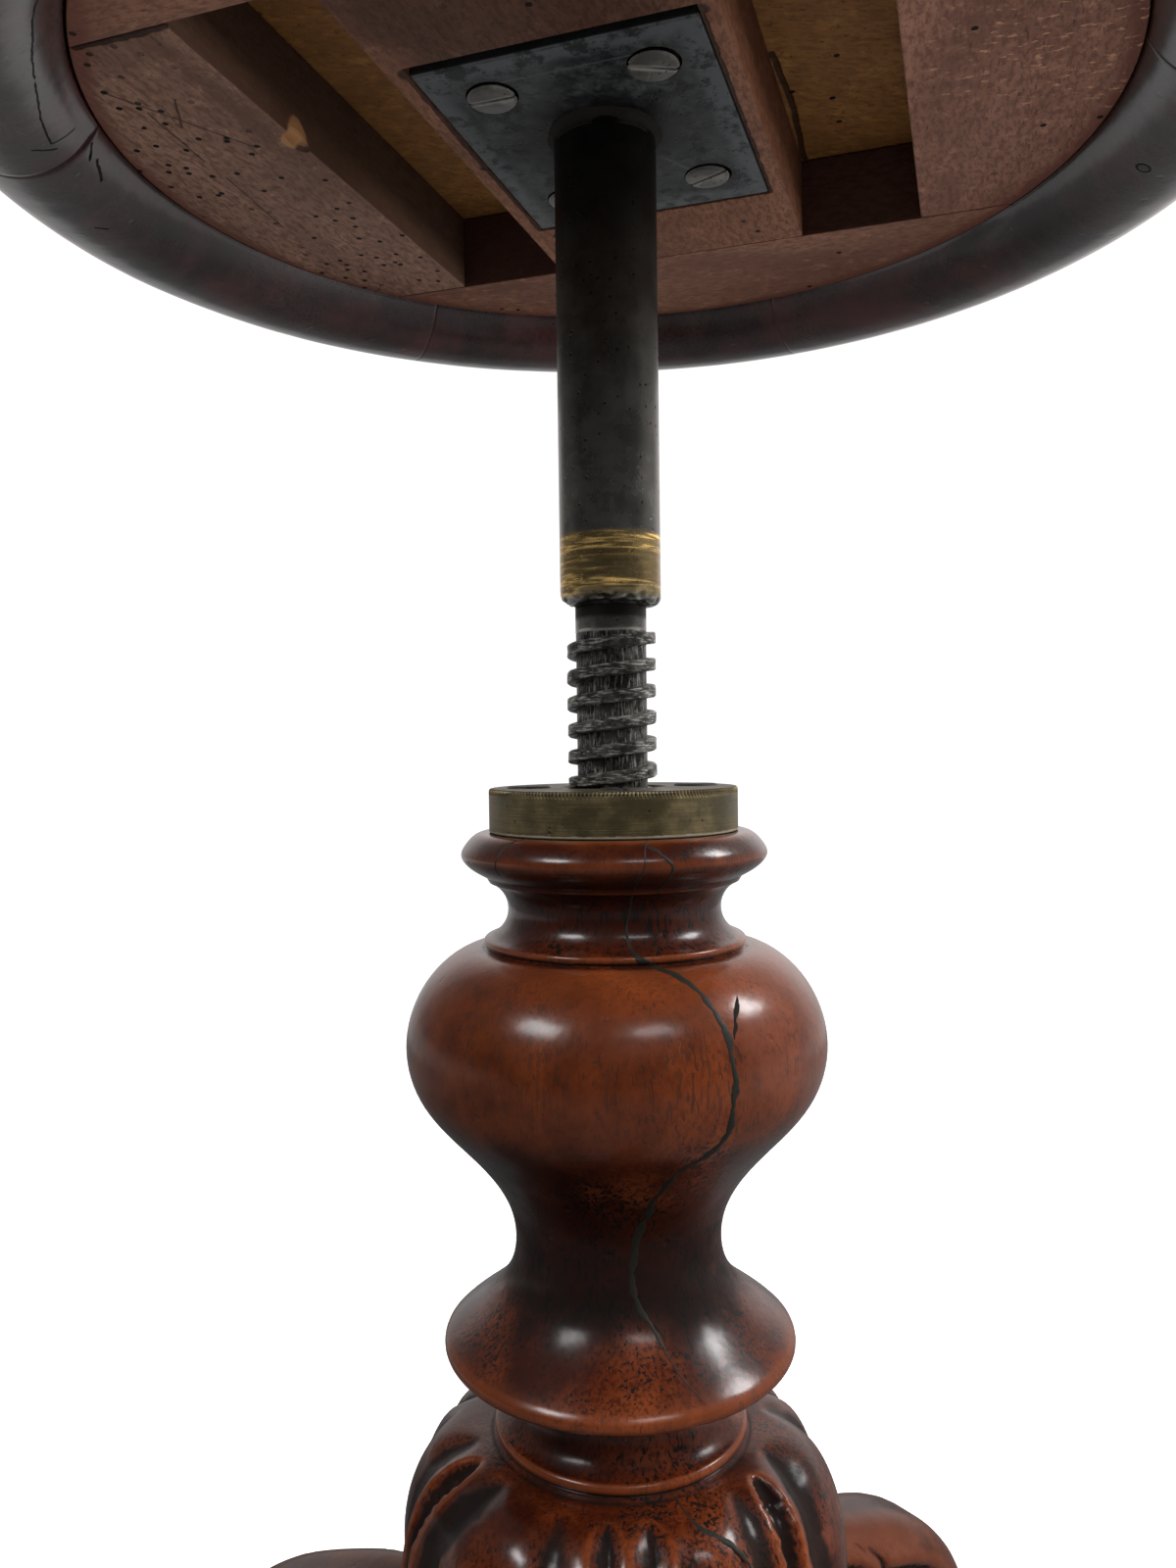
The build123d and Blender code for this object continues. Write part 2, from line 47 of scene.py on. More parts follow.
# ---------------------------------------------------------------- sizes that the pieces share, in metres
COLUMN_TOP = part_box("column")[1].z
COLUMN_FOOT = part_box("column")[0].z
COLLAR_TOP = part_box("collar_nut")[1].z
COLLAR_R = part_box("collar_nut")[1].x
PLATE_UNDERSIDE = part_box("spindle_plate")[0].z
THREAD_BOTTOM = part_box("spindle")[0].z
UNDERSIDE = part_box("cross_rail")[0].z
BOARD_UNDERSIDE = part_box("seat_board")[0].z
RIM_BOTTOM, RIM_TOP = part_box("rim_segment_1")[0].z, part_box("rim_segment_1")[1].z
# ... and in mm: the nut's sleeve, the gap round it, and the bored well below it
SLEEVE_R, SLEEVE_BOTTOM = 20.0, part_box("collar_nut")[0].z / MM
SLEEVE_GAP = 0.1
WELL_R, WELL_BOTTOM = 15.0, 203.0
CENTRE_R = 2.0           # the column and the shank start and end this far from their axis
RAIL_TURN = radians(63)
EYE_BEARING = radians(-9.5)
LEG_TURNS = (radians(270), radians(30), radians(150))


def polar(reach, turn, height):
    """The place, in metres, at this reach and height in mm, and this turn in degrees from +X."""
    return Vector((reach * cos(radians(turn)) * MM, reach * sin(radians(turn)) * MM, height * MM))


def on_rail(along, across, height=UNDERSIDE / MM):
    """The place, in metres, that lies so far along the cross rail and to its left, in mm."""
    return Vector(((along * cos(RAIL_TURN) - across * sin(RAIL_TURN)) * MM,
                   (along * sin(RAIL_TURN) + across * cos(RAIL_TURN)) * MM, height * MM))


def limited(amount):
    """The amount, kept between 0 and 1."""
    return min(1.0, max(0.0, amount))


def lengths_along(line):
    """How far each point of this line lies along it."""
    lengths = [0.0]
    for (ax, ay), (bx, by) in zip(line, line[1:]):
        lengths.append(lengths[-1] + sqrt((ax - bx) ** 2 + (ay - by) ** 2))
    return lengths


def drawn_in(place, depth, drop=0.0):
    """The place moved towards the axis by this depth, and down by this drop, in mm."""
    shrink = 1 - depth * MM / place.xy.length
    return Vector((place.x * shrink, place.y * shrink, place.z - drop * MM))


# ---------------------------------------------------------------- making meshes
def select_none():
    """Leave no object selected, because every operator acts on all that is."""
    bpy.ops.object.select_all(action="DESELECT")
    bpy.context.view_layer.objects.active = None


def select_only(piece):
    """Select this piece alone and make it the active one."""
    select_none()
    piece.select_set(True)
    bpy.context.view_layer.objects.active = piece


def straight(line, end, steps=1):
    """Draw an outline on to its next point, in even steps."""
    (ax, ay), (bx, by) = line[-1], end
    line += [(ax + (bx - ax) * i / steps, ay + (by - ay) * i / steps) for i in range(1, steps + 1)]


def arc(line, middle, end, steps):
    """Draw an outline on round the circle through its last point, a middle point and the end."""
    (ax, ay), (bx, by), (cx, cy) = line[-1], middle, end
    d = 2 * (ax * (by - cy) + bx * (cy - ay) + cx * (ay - by))
    ux = ((ax**2 + ay**2) * (by - cy) + (bx**2 + by**2) * (cy - ay) + (cx**2 + cy**2) * (ay - by)) / d
    uy = ((ax**2 + ay**2) * (cx - bx) + (bx**2 + by**2) * (ax - cx) + (cx**2 + cy**2) * (bx - ax)) / d
    radius = sqrt((ax - ux) ** 2 + (ay - uy) ** 2)
    start, halfway, last = (atan2(y - uy, x - ux) for x, y in (line[-1], middle, end))
    sweep = (last - start) % (2 * pi)
    if (halfway - start) % (2 * pi) > sweep:
        sweep -= 2 * pi
    turns = [start + sweep * i / steps for i in range(1, steps + 1)]
    line += [(ux + radius * cos(turn), uy + radius * sin(turn)) for turn in turns]


def curve(line, points, first, last, steps):
    """Draw an outline on along a smooth cubic curve through these points.

    first and last are the directions at its ends, and steps is the number of points in all.
    """
    knots = np.array([line[-1], *points], float)
    gaps = np.linalg.norm(np.diff(knots, axis=0), axis=1)
    count = len(knots)
    system, wanted = np.eye(count), np.zeros((count, 2))
    wanted[0] = np.array(first) / np.linalg.norm(first)
    wanted[-1] = np.array(last) / np.linalg.norm(last)
    for i in range(1, count - 1):
        system[i, i - 1:i + 2] = gaps[i], 2 * (gaps[i - 1] + gaps[i]), gaps[i - 1]
        before, after = (knots[i] - knots[i - 1]) / gaps[i - 1], (knots[i + 1] - knots[i]) / gaps[i]
        wanted[i] = 3 * (gaps[i] * before + gaps[i - 1] * after)
    slopes = np.linalg.solve(system, wanted)
    for i, gap in enumerate(gaps):
        pieces = max(2, round(steps * gap / gaps.sum()))
        for j in range(1, pieces + 1):
            t = j / pieces
            line.append(tuple((2 * t**3 - 3 * t**2 + 1) * knots[i] + (t**3 - 2 * t**2 + t) * gap * slopes[i]
                              + (3 * t**2 - 2 * t**3) * knots[i + 1] + (t**3 - t**2) * gap * slopes[i + 1]))


def new_piece(name, vertices, faces):
    """A mesh object made from vertices and faces, smooth shaded."""
    mesh = bpy.data.meshes.new(name)
    mesh.from_pydata(vertices, [], faces)
    mesh.validate()
    piece = bpy.data.objects.new(name, mesh)
    bpy.context.scene.collection.objects.link(piece)
    mesh.shade_smooth()
    return piece


def new_line(name, points):
    """A mesh object that is one open line of edges."""
    mesh = bpy.data.meshes.new(name)
    mesh.from_pydata(points, [(i, i + 1) for i in range(len(points) - 1)], [])
    piece = bpy.data.objects.new(name, mesh)
    bpy.context.scene.collection.objects.link(piece)
    return piece


def skinned(name, rings):
    """A closed skin over rings of as many points each, with a flat cap at both ends."""
    around = len(rings[0])
    faces = []
    for i in range(len(rings) - 1):
        for j in range(around):
            k = (j + 1) % around
            faces.append((i * around + j, i * around + k, (i + 1) * around + k, (i + 1) * around + j))
    faces.append(tuple(range(around)))
    faces.append(tuple(range((len(rings) - 1) * around, len(rings) * around)))
    return tidy_mesh(new_piece(name, [point for ring in rings for point in ring], faces))


def tidy_mesh(piece, distance=1e-6):
    """Join doubled vertices and turn every face outwards."""
    select_only(piece)
    bpy.ops.object.mode_set(mode="EDIT")
    bpy.ops.mesh.select_all(action="SELECT")
    bpy.ops.mesh.remove_doubles(threshold=distance)
    bpy.ops.mesh.normals_make_consistent(inside=False)
    bpy.ops.object.mode_set(mode="OBJECT")
    return piece


def turned(name, profile, steps):
    """A turning: the profile, as (radius, height) points in mm, spun round the axis."""
    piece = new_line(name, [(radius * MM, 0, height * MM) for radius, height in profile])
    apply_modifier(piece, "SCREW", axis="Z", angle=2 * pi, screw_offset=0.0, steps=steps, render_steps=steps,
                   use_merge_vertices=True, merge_threshold=1e-6)
    tidy_mesh(piece)
    piece.data.shade_smooth()
    return piece


def move_points(piece, rule):
    """Move every vertex to where rule(Vector) says."""
    for vertex in piece.data.vertices:
        vertex.co = rule(vertex.co)
    piece.data.update()


def apply_modifier(piece, kind, **settings):
    """Add a modifier with these settings and apply it."""
    select_only(piece)
    made = piece.modifiers.new(kind.lower(), kind)
    for key, value in settings.items():
        setattr(made, key, value)
    bpy.ops.object.modifier_apply(modifier=made.name)
    return piece


def copy_of(name, new_name):
    """A copy of a CAD node's mesh, with its loose triangles joined and its flat faces whole again."""
    piece = nodes[name].copy()
    piece.data = nodes[name].data.copy()
    piece.name = new_name
    bpy.context.scene.collection.objects.link(piece)
    tidy_mesh(piece, 2e-5)
    bpy.ops.object.mode_set(mode="EDIT")
    bpy.ops.mesh.select_all(action="SELECT")
    bpy.ops.mesh.dissolve_limited(angle_limit=radians(0.5))
    bpy.ops.object.mode_set(mode="OBJECT")
    return piece


def eased(name, new_name, width):
    """A copy of a CAD node with its arrises rounded over this width, in mm."""
    piece = copy_of(name, new_name)
    apply_modifier(piece, "BEVEL", width=width * MM, segments=2, limit_method="ANGLE",
                   angle_limit=radians(30), use_clamp_overlap=True)
    smooth_below(piece, 25)
    mark_relief(piece, 3, 900.0)
    return piece


def cut_away(piece, tool):
    """Cut the tool's shape out of the piece, and delete the tool."""
    apply_modifier(piece, "BOOLEAN", operation="DIFFERENCE", object=tool, solver="EXACT")
    bpy.data.objects.remove(tool)


def countersink(piece, spot, low_r, high_r, depth):
    """Cut a countersink of these radii and this depth, in mm, round a place in metres."""
    select_none()
    bpy.ops.mesh.primitive_cone_add(vertices=40, radius1=low_r * MM, radius2=high_r * MM, depth=depth * MM,
                                    location=spot)
    cut_away(piece, bpy.context.object)


def smooth_below(piece, angle):
    """Smooth shading, but with a crisp edge wherever faces meet at more than this angle, in degrees."""
    piece.data.shade_smooth()
    select_only(piece)
    bpy.ops.object.shade_smooth_by_angle(angle=radians(angle))


def fit_out(piece, body, material, node=None):
    """Give a finished piece its material, its body and the node that it replaces."""
    piece.data.materials.clear()
    piece.data.materials.append(material)
    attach(piece, body)
    if node:
        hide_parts(node)


def fit_plain(node, name, width, body, material):
    """A CAD node's own shape, fitted out with no more change than this easing of its arrises, in mm."""
    fit_out(eased(node, name, width), body, material, node)


def mark_relief(piece, reach, strength):
    """Store how far each vertex stands out of its surroundings, as the attribute relief.

    It is 0.5 on a flat place, less in a hollow and more on an arris.
    """
    mesh = piece.data
    count = len(mesh.vertices)
    places = np.zeros(count * 3)
    mesh.vertices.foreach_get("co", places)
    places = places.reshape(-1, 3)
    normals = np.zeros(count * 3)
    mesh.vertex_normals.foreach_get("vector", normals)
    normals = normals.reshape(-1, 3)
    edges = np.zeros(len(mesh.edges) * 2, int)
    mesh.edges.foreach_get("vertices", edges)
    a, b = edges.reshape(-1, 2).T
    neighbours = np.bincount(a, minlength=count) + np.bincount(b, minlength=count)
    smoothed = places.copy()
    for _ in range(reach):
        for axis in range(3):
            values = smoothed[:, axis]
            total = np.bincount(a, values[b], count) + np.bincount(b, values[a], count)
            smoothed[:, axis] = 0.5 * values + 0.5 * total / np.maximum(neighbours, 1)
    relief = 0.5 + strength * ((places - smoothed) * normals).sum(axis=1)
    layer = mesh.attributes.new("relief", "FLOAT", "POINT")
    layer.data.foreach_set("value", np.clip(relief, 0, 1))


# ---------------------------------------------------------------- making materials
class Value:
    """What a shader node puts out. It adds and multiplies as a number does."""

    def __init__(self, socket):
        self.socket = socket

    def __add__(self, other):
        return maths("ADD", self, other)

    def __radd__(self, other):
        return maths("ADD", other, self)

    def __sub__(self, other):
        return maths("SUBTRACT", self, other)

    def __rsub__(self, other):
        return maths("SUBTRACT", other, self)

    def __mul__(self, other):
        return maths("MULTIPLY", self, other)

    def __truediv__(self, other):
        return maths("DIVIDE", self, other)


class Outputs:
    """The outputs of a shader node, each by its name or number."""

    def __init__(self, node):
        self.node = node

    def __getitem__(self, key):
        return Value(self.node.outputs[key])


def tree_of(*values):
    """The shader tree that these values belong to."""
    return next(value.socket.id_data for value in values if isinstance(value, Value))


def fill(socket, value):
    """Join a value to this socket, or set a number, a place or a colour on it."""
    if isinstance(value, Value):
        socket.id_data.links.new(value.socket, socket)
    else:
        socket.default_value = value


def add_node(tree, kind, inputs=None, **settings):
    """Add a shader node, set its properties, fill its inputs, and return its outputs."""
    node = tree.nodes.new("ShaderNode" + kind)
    for key, value in settings.items():
        setattr(node, key, value)
    for key, value in (inputs or {}).items():
        fill(node.inputs[key], value)
    return Outputs(node)


def maths(operation, *values):
    """The result of a Math node."""
    return add_node(tree_of(*values), "Math", dict(enumerate(values)), operation=operation)[0]


def vector_maths(operation, *values):
    """The result of a Vector Math node."""
    made = add_node(tree_of(*values), "VectorMath", dict(enumerate(values)), operation=operation)
    return made["Value" if operation in ("DOT_PRODUCT", "LENGTH", "DISTANCE") else "Vector"]


def part_of(place, axis):
    """One of a place's parts, X, Y or Z."""
    return add_node(tree_of(place), "SeparateXYZ", {"Vector": place})[axis]


def facing_up(place):
    """How far the surface faces up, from -1 to 1."""
    return part_of(add_node(tree_of(place), "NewGeometry")["Normal"], "Z")


def noise_of(place, scale, detail=4.0, roughness=0.5, distortion=0.0, output="Fac"):
    """The value of a noise texture at this place."""
    return add_node(tree_of(place), "TexNoise", {"Vector": place, "Scale": scale, "Detail": detail,
                                                 "Roughness": roughness, "Distortion": distortion})[output]


def cells_of(place, size, share, **settings):
    """The distance from the middle of each cell, and 1 in this share of the cells."""
    cells = add_node(tree_of(place), "TexVoronoi", {"Vector": place, "Scale": size}, **settings)
    red = add_node(tree_of(place), "SeparateColor", {"Color": cells["Color"]})[0]
    return cells["Distance"], maths("LESS_THAN", red, share)


def scaled(place, scale, turn=(0, 0, 0)):
    """The place after a Mapping node."""
    return add_node(tree_of(place), "Mapping", {"Vector": place, "Scale": scale, "Rotation": turn})[0]


def between(value, low, high, out_low=0.0, out_high=1.0, kind="SMOOTHSTEP"):
    """The value taken from low..high to out_low..out_high, smoothly and clamped."""
    inputs = {"Value": value, "From Min": low, "From Max": high, "To Min": out_low, "To Max": out_high}
    return add_node(tree_of(value), "MapRange", inputs, interpolation_type=kind)[0]


def between_straight(value, low, high):
    """The value taken from low..high to 0..1 in a straight line, clamped."""
    return between(value, low, high, kind="LINEAR")


def blend_colours(amount, first, second):
    """The two colours mixed by this amount."""
    first, second = (colour if isinstance(colour, Value) else (*colour, 1.0) for colour in (first, second))
    inputs = {0: amount, 6: first, 7: second}
    return add_node(tree_of(amount, first, second), "Mix", inputs, data_type="RGBA")[2]


def painted(colour, *coats):
    """The colour under these coats, each an amount and the colour that it lays over the last."""
    for amount, over in coats:
        colour = blend_colours(amount, colour, over)
    return colour


def ramp(value, *stops):
    """Colours at places along the value."""
    made = add_node(tree_of(value), "ValToRGB", {"Fac": value})
    elements = made.node.color_ramp.elements
    for i, (place, colour) in enumerate(stops):
        stop = elements[i] if i < 2 else elements.new(place)
        stop.position = place
        stop.color = (*colour, 1.0)
    return made[0]


def bump(height, distance, strength=1.0, **normal):
    """The normal of a surface with this height, on top of the Normal that may be given."""
    inputs = {"Height": height, "Distance": distance, "Strength": strength, **normal}
    return add_node(tree_of(height), "Bump", inputs)[0]


def new_group(name, **inputs):
    """A node group with these named inputs: a number to start from, or None for a place."""
    group = bpy.data.node_groups.new(name, "ShaderNodeTree")
    for label, value in inputs.items():
        kind = "NodeSocketVector" if value is None else "NodeSocketFloat"
        socket = group.interface.new_socket(label.replace("_", " "), in_out="INPUT", socket_type=kind)
        if value is not None:
            socket.default_value = value
    return group, Outputs(group.nodes.new("NodeGroupInput"))


def close_group(group, **outputs):
    """Give a node group these named outputs."""
    for label in outputs:
        group.interface.new_socket(label, in_out="OUTPUT", socket_type="NodeSocketFloat")
    node = group.nodes.new("NodeGroupOutput")
    for label, value in outputs.items():
        fill(node.inputs[label], value)
    return group


def place_group(group, **inputs):
    """Place a node group in a material, and return its outputs."""
    node = tree_of(*inputs.values()).nodes.new("ShaderNodeGroup")
    node.node_tree = group
    for key, value in inputs.items():
        fill(node.inputs[key.replace("_", " ")], value)
    return Outputs(node)


def new_material(name):
    """A new material, its shader, and the place on the piece, which is the place in the frame."""
    material = bpy.data.materials.new(name)
    material.use_nodes = True
    tree = material.node_tree
    tree.nodes.clear()
    shader = tree.nodes.new("ShaderNodeBsdfPrincipled")
    output = tree.nodes.new("ShaderNodeOutputMaterial")
    tree.links.new(shader.outputs[0], output.inputs[0])
    return material, shader, add_node(tree, "TexCoord")["Object"]


def finish_shader(shader, **inputs):
    """Fill the shader's inputs with values or links."""
    for key, value in inputs.items():
        fill(shader.inputs[key.replace("_", " ")], value)


def make_timber_group():
    """Figure, fine streaks and open pores of a board whose grain runs along Z."""
    group, given = new_group("timber_grain", Place=None, Figure_Size=30.0, Pore_Amount=0.5)
    place = given["Place"]
    figure = noise_of(scaled(place, (1.0, 1.0, 0.22)), given["Figure Size"], 5.0, 0.55, 0.6)
    streaks = noise_of(scaled(place, (1.0, 1.0, 0.05)), 420.0, 3.0, 0.6, 0.2)
    pores = noise_of(scaled(place, (1.0, 1.0, 0.2)), 1000.0, 1.0)
    patches = noise_of(scaled(place, (1.0, 1.0, 0.5)), 45.0, 2.0)
    gathered = between(patches, 0.4, 0.6, 0.12, 0.29)
    limit = 0.8 - given["Pore Amount"] * gathered
    return close_group(group, Figure=figure, Streaks=streaks, Pores=between(pores - limit, 0.0, 0.025))


def make_wear_group():
    """Masks of dirt in the hollows and rubbed arrises, from the relief of the mesh."""
    group, given = new_group("relief_wear", Place=None, Unevenness=0.5)
    relief = add_node(group, "Attribute", attribute_name="relief")["Fac"]
    patchy = noise_of(given["Place"], 130.0, 5.0, 0.6)
    uneven = relief + (patchy - 0.5) * given["Unevenness"]
    return close_group(group, Dirt=between(uneven, 0.46, 0.2), Rubbed=between(uneven, 0.56, 0.8))


def make_pitting_group():
    """Small pits and fine scratches on a handled surface."""
    group, given = new_group("pits_and_scratches", Place=None, Pit_Size=400.0, Pit_Amount=0.3, Pit_Width=0.33)
    distance, chosen = cells_of(given["Place"], given["Pit Size"], given["Pit Amount"])
    pits = between_straight(distance, given["Pit Width"], given["Pit Width"] * 0.4) * chosen
    lines = []
    for turn in (0.4, 1.9):
        along = scaled(given["Place"], (1.0, 0.03, 1.0), (0.3, turn, turn))
        lines.append(between(noise_of(along, 700.0, 2.0), 0.66, 0.74))
    return close_group(group, Pits=pits, Scratches=maths("MAXIMUM", *lines))


def make_line_group():
    """How far a place lies from the straight line between two other places."""
    group, given = new_group("distance_to_line", Place=None, Start=None, End=None)
    span = vector_maths("SUBTRACT", given["End"], given["Start"])
    reach = vector_maths("SUBTRACT", given["Place"], given["Start"])
    share = vector_maths("DOT_PRODUCT", reach, span) / vector_maths("DOT_PRODUCT", span, span)
    nearest = vector_maths("MULTIPLY", span, between_straight(share, 0.0, 1.0))
    return close_group(group, Distance=vector_maths("LENGTH", vector_maths("SUBTRACT", reach, nearest)))


def drawn_line(place, points, width, wander=0.0, grain=300.0):
    """Mask of a line of this width through these places, all in metres, wandering this far."""
    if wander:
        shift = vector_maths("SUBTRACT", noise_of(place, grain, 3.0, output="Color"), (0.5, 0.5, 0.5))
        place = vector_maths("ADD", place, vector_maths("MULTIPLY", shift, (wander, wander, wander)))
    near = None
    for start, end in zip(points, points[1:]):
        away = place_group(distance_to_line, Place=place, Start=start, End=end)["Distance"]
        near = away if near is None else maths("MINIMUM", near, away)
    return between(near, 0.5 * width, 0.25 * width)


def strongest(masks):
    """The largest of these masks."""
    most = masks[0]
    for mask in masks[1:]:
        most = maths("MAXIMUM", most, mask)
    return most


timber_grain = make_timber_group()
distance_to_line = make_line_group()
relief_wear = make_wear_group()
pits_and_scratches = make_pitting_group()


def polished_mahogany(name, dark, middle, light, dirt, coat, pores=0.6, crack=None, dark_above=2.0, tint=None,
                      coat_ior=1.37, stain_and_shade_patches=()):
    """French-polished mahogany, darker above this height, with dirt in its hollows and rubbed arrises."""
    material, shader, place = new_material(name)
    grain = place_group(timber_grain, Place=place, Figure_Size=30.0, Pore_Amount=pores)
    wear = place_group(relief_wear, Place=place, Unevenness=0.25)
    marks = place_group(pits_and_scratches, Place=place, Pit_Size=260.0, Pit_Amount=0.05)
    stain = between(noise_of(place, 21.0, 6.0, 0.62, 0.5), 0.47, 0.62, 0.0, 0.85)
    # the colour darkens above the height dark_above, towards the column's top
    top_darkening = between(part_of(place, "Z"), dark_above, dark_above + 0.008, 0.0, 0.8)
    colour = painted(ramp(grain["Figure"], (0.3, dark), (0.72, light), (0.5, middle)),
                     (grain["Streaks"] * 0.45, dark), (maths("MAXIMUM", stain, top_darkening), dark))
    sheen = coat - wear["Dirt"] * 0.6
    # patches darkened round given places, with less coat: the waist's front is painted shade, a dark
    # reflection; the bulb's left is part stain, part painted shade
    for middle_of, reach in stain_and_shade_patches:
        away = vector_maths("DISTANCE", place, middle_of) + stain * -0.006
        darkened = between(away, reach, 0.55 * reach, 0.0, 0.85)
        colour = blend_colours(darkened, colour, dark)
        sheen = sheen * (1.0 - darkened * 0.6)
    speckles = noise_of(scaled(place, (1.0, 1.0, 0.5)), 900.0, 3.0, 0.7)
    colour = painted(colour, (between(speckles, 0.46, 0.62, 0.0, 0.75), dark), (grain["Pores"] * 0.95, dirt),
                     (wear["Rubbed"] * 0.4, light))
    if tint:
        colour = blend_colours(between(noise_of(place, 26.0, 5.0, 0.6), 0.45, 0.7), colour, tint)
    colour = blend_colours(wear["Dirt"] * 0.9, colour, dirt)
    height = 0.0 - (grain["Pores"] + marks["Pits"] * 2.0)
    if crack:
        line = crack(place)
        colour = blend_colours(line, colour, (0.004, 0.004, 0.003))
        height = height - line * 4.0
        sheen = sheen * (1.0 - line)
    roughness = 0.34 + wear["Dirt"] * 0.35
    uneven = bump(noise_of(place, 60.0, 3.0), 0.0012, 0.25)
    finish_shader(shader, Base_Color=colour, Roughness=roughness,
                  Normal=bump(height, 0.00025, 0.6, Normal=uneven), Specular_IOR_Level=0.08,
                  Coat_Weight=sheen, Coat_Roughness=0.2, Coat_IOR=coat_ior, Coat_Normal=uneven)
    return material


# Where the column is cracked: degrees round from the front, and height in mm, along each crack
CRACKS = {
    "long_crack": ((3.0, 366.5), (-0.3, 359.2), (-3.7, 340.0), (5.2, 334.3), (11.2, 332.7), (16.5, 327.6),
                   (19.0, 320.0), (19.2, 307.4), (18.8, 300.1), (17.0, 292.0), (9.3, 286.0), (4.9, 278.4),
                   (2.1, 269.2), (-2.8, 253.5), (-0.8, 243.2), (5.2, 237.6), (9.3, 232.8), (15.5, 224.4)),
    "ring_crack": ((1.0, 366.0), (6.5, 363.5), (10.5, 360.0), (9.0, 352.0)),
    "left_ring_crack": ((-55.5, 357.0), (-54.5, 361.5), (-52.0, 365.5), (-48.0, 366.6)),
    "lower_crack": ((12.3, 193.8), (13.4, 192.6), (16.4, 191.2), (21.3, 189.0), (23.7, 186.1), (25.0, 180.0)),
    "open_split": ((27.0, 327.5), (23.6, 323.0), (20.8, 318.5)),
    "flange_cut": ((7.0, 238.5), (9.5, 236.5), (10.0, 234.5)),
}
CRACK_WIDTHS = {"long_crack": 2.5, "ring_crack": 1.2, "left_ring_crack": 0.8, "lower_crack": 1.8,
                "open_split": 2.2, "flange_cut": 0.8}
STOPPING_PROUD, STOPPING_SUNK = 0.22, 0.12      # how the filler lies in the wood's surface, in mm


def make_cracks():
    """Strips in the column's cracks, let in and a hair proud: dark filler, and near black painted shade in
    open ones.
    """
    for name, route in CRACKS.items():
        steps = 16 * (len(route) - 1)
        knots = [np.array(spot) for spot in route]
        along = Vector((0, 0, -1))
        rings = []
        for i in range(steps + 1):
            turn, height = smooth_at(knots, i / steps)
            seed = Vector((turn * 0.16, height * 0.16, 3.0))
            turn += 1.3 * noise.noise(seed) + 0.5 * noise.noise(seed * 4)
            taper = min(1.0, 0.15 + 4 * min(i, steps - i) / steps)
            half = 0.5 * CRACK_WIDTHS[name] * taper * (0.85 + 0.7 * noise.noise(seed * 2.5))
            slope = column_radius(height + 0.5) - column_radius(height - 0.5)
            outwards = (polar(1, 270 + turn, 0) / MM + Vector((0, 0, -slope))).normalized()
            centre = polar(column_radius(height), 270 + turn, height)
            if rings:
                along = (centre - last).normalized()
            last = centre
            sideways = along.cross(outwards).normalized()
            ring = []
            for k in range(10):
                swing = 2 * pi * k / 10
                lift = STOPPING_PROUD * sin(swing) - STOPPING_SUNK
                ring.append(centre + (sideways * cos(swing) * half + outwards * lift) * MM)
            rings.append(ring)
        # the open split and the flange cut get near-black strips: painted shade for their open gaps
        material = painted_gap_shade if name in ("open_split", "flange_cut") else crack_filler
        fit_out(skinned(name, rings), "base", material)


def crack_stopping(name, colour, roughness):
    """Dull dark stopping for filled cracks, and near black painted shade for open gaps; a little uneven."""
    material, shader, place = new_material(name)
    patches = noise_of(place, 500.0, 3.0)
    tint = blend_colours(patches, colour, tuple((1.9 * c for c in colour)))
    finish_shader(shader, Base_Color=tint, Roughness=roughness, Normal=bump(patches, 0.0002, 0.5),
                  Specular_IOR_Level=0.25)
    return material


def bare_timber(name, dark, light, grain_turn, holes=0.0, dark_marks=None, pale_marks=None, wall_stain_and_shade=None,
                pale=(0.42, 0.2, 0.08)):
    """Bare stained timber whose grain runs level, at this angle from +X."""
    material, shader, place = new_material(name)
    lying = scaled(scaled(place, (1, 1, 1), (0, 0, -grain_turn)), (1, 1, 1), (0, radians(90), 0))
    grain = place_group(timber_grain, Place=lying, Figure_Size=24.0, Pore_Amount=0.3)
    distance, chosen = cells_of(place, 150.0, holes, voronoi_dimensions="2D")
    level = maths("GREATER_THAN", maths("ABSOLUTE", facing_up(place)), 0.7)
    clusters = between(noise_of(place, 18.0, 2.0), 0.42, 0.56)
    worm = between(distance, 0.14, 0.11) * chosen * level * clusters
    stain = noise_of(place, 22.0, 5.0, 0.6)
    chalk = noise_of(place, 160.0, 6.0, 0.7)
    fibres = noise_of(scaled(lying, (1.0, 1.0, 0.4)), 620.0, 4.0, 0.75)
    colour = painted(ramp(grain["Figure"], (0.3, dark), (0.7, light)),
                     (grain["Streaks"] * 0.5, dark), (grain["Pores"] * 0.6, (0.02, 0.009, 0.005)),
                     (between(stain, 0.5, 0.72, 0.0, 0.5), dark), (between(chalk, 0.5, 0.7, 0.0, 0.6), light),
                     (between(fibres, 0.4, 0.56, 0.75, 0.0), dark))
    height = grain["Streaks"] * 0.5 - grain["Pores"] + (chalk * 0.8 + fibres)
    # upright faces are darkened: part stain, part painted shade in the well
    if wall_stain_and_shade:
        colour = blend_colours((1.0 - level) * 0.85, colour, wall_stain_and_shade)
    away = vector_maths("LENGTH", scaled(place, (1, 1, 0))) + stain * 0.008
    by_rim = between(away, (RIM_INNER - 1.8) * MM, (RIM_INNER + 2.2) * MM, 0.0, 0.75)
    colour = blend_colours(by_rim, colour, (0.15, 0.05, 0.032))
    if pale_marks:
        colour = blend_colours(pale_marks(place) * 0.75, colour, pale)
    if dark_marks:
        drawn = dark_marks(place)
        colour = blend_colours(drawn * 0.8, colour, (0.012, 0.005, 0.003))
        height = height - drawn * 2.0
    colour = blend_colours(worm, colour, (0.003, 0.002, 0.001))
    height = height - worm * 6.0
    finish_shader(shader, Base_Color=colour, Roughness=0.6, Normal=bump(height, 0.0003, 0.9),
                  Specular_IOR_Level=0.2)
    return material


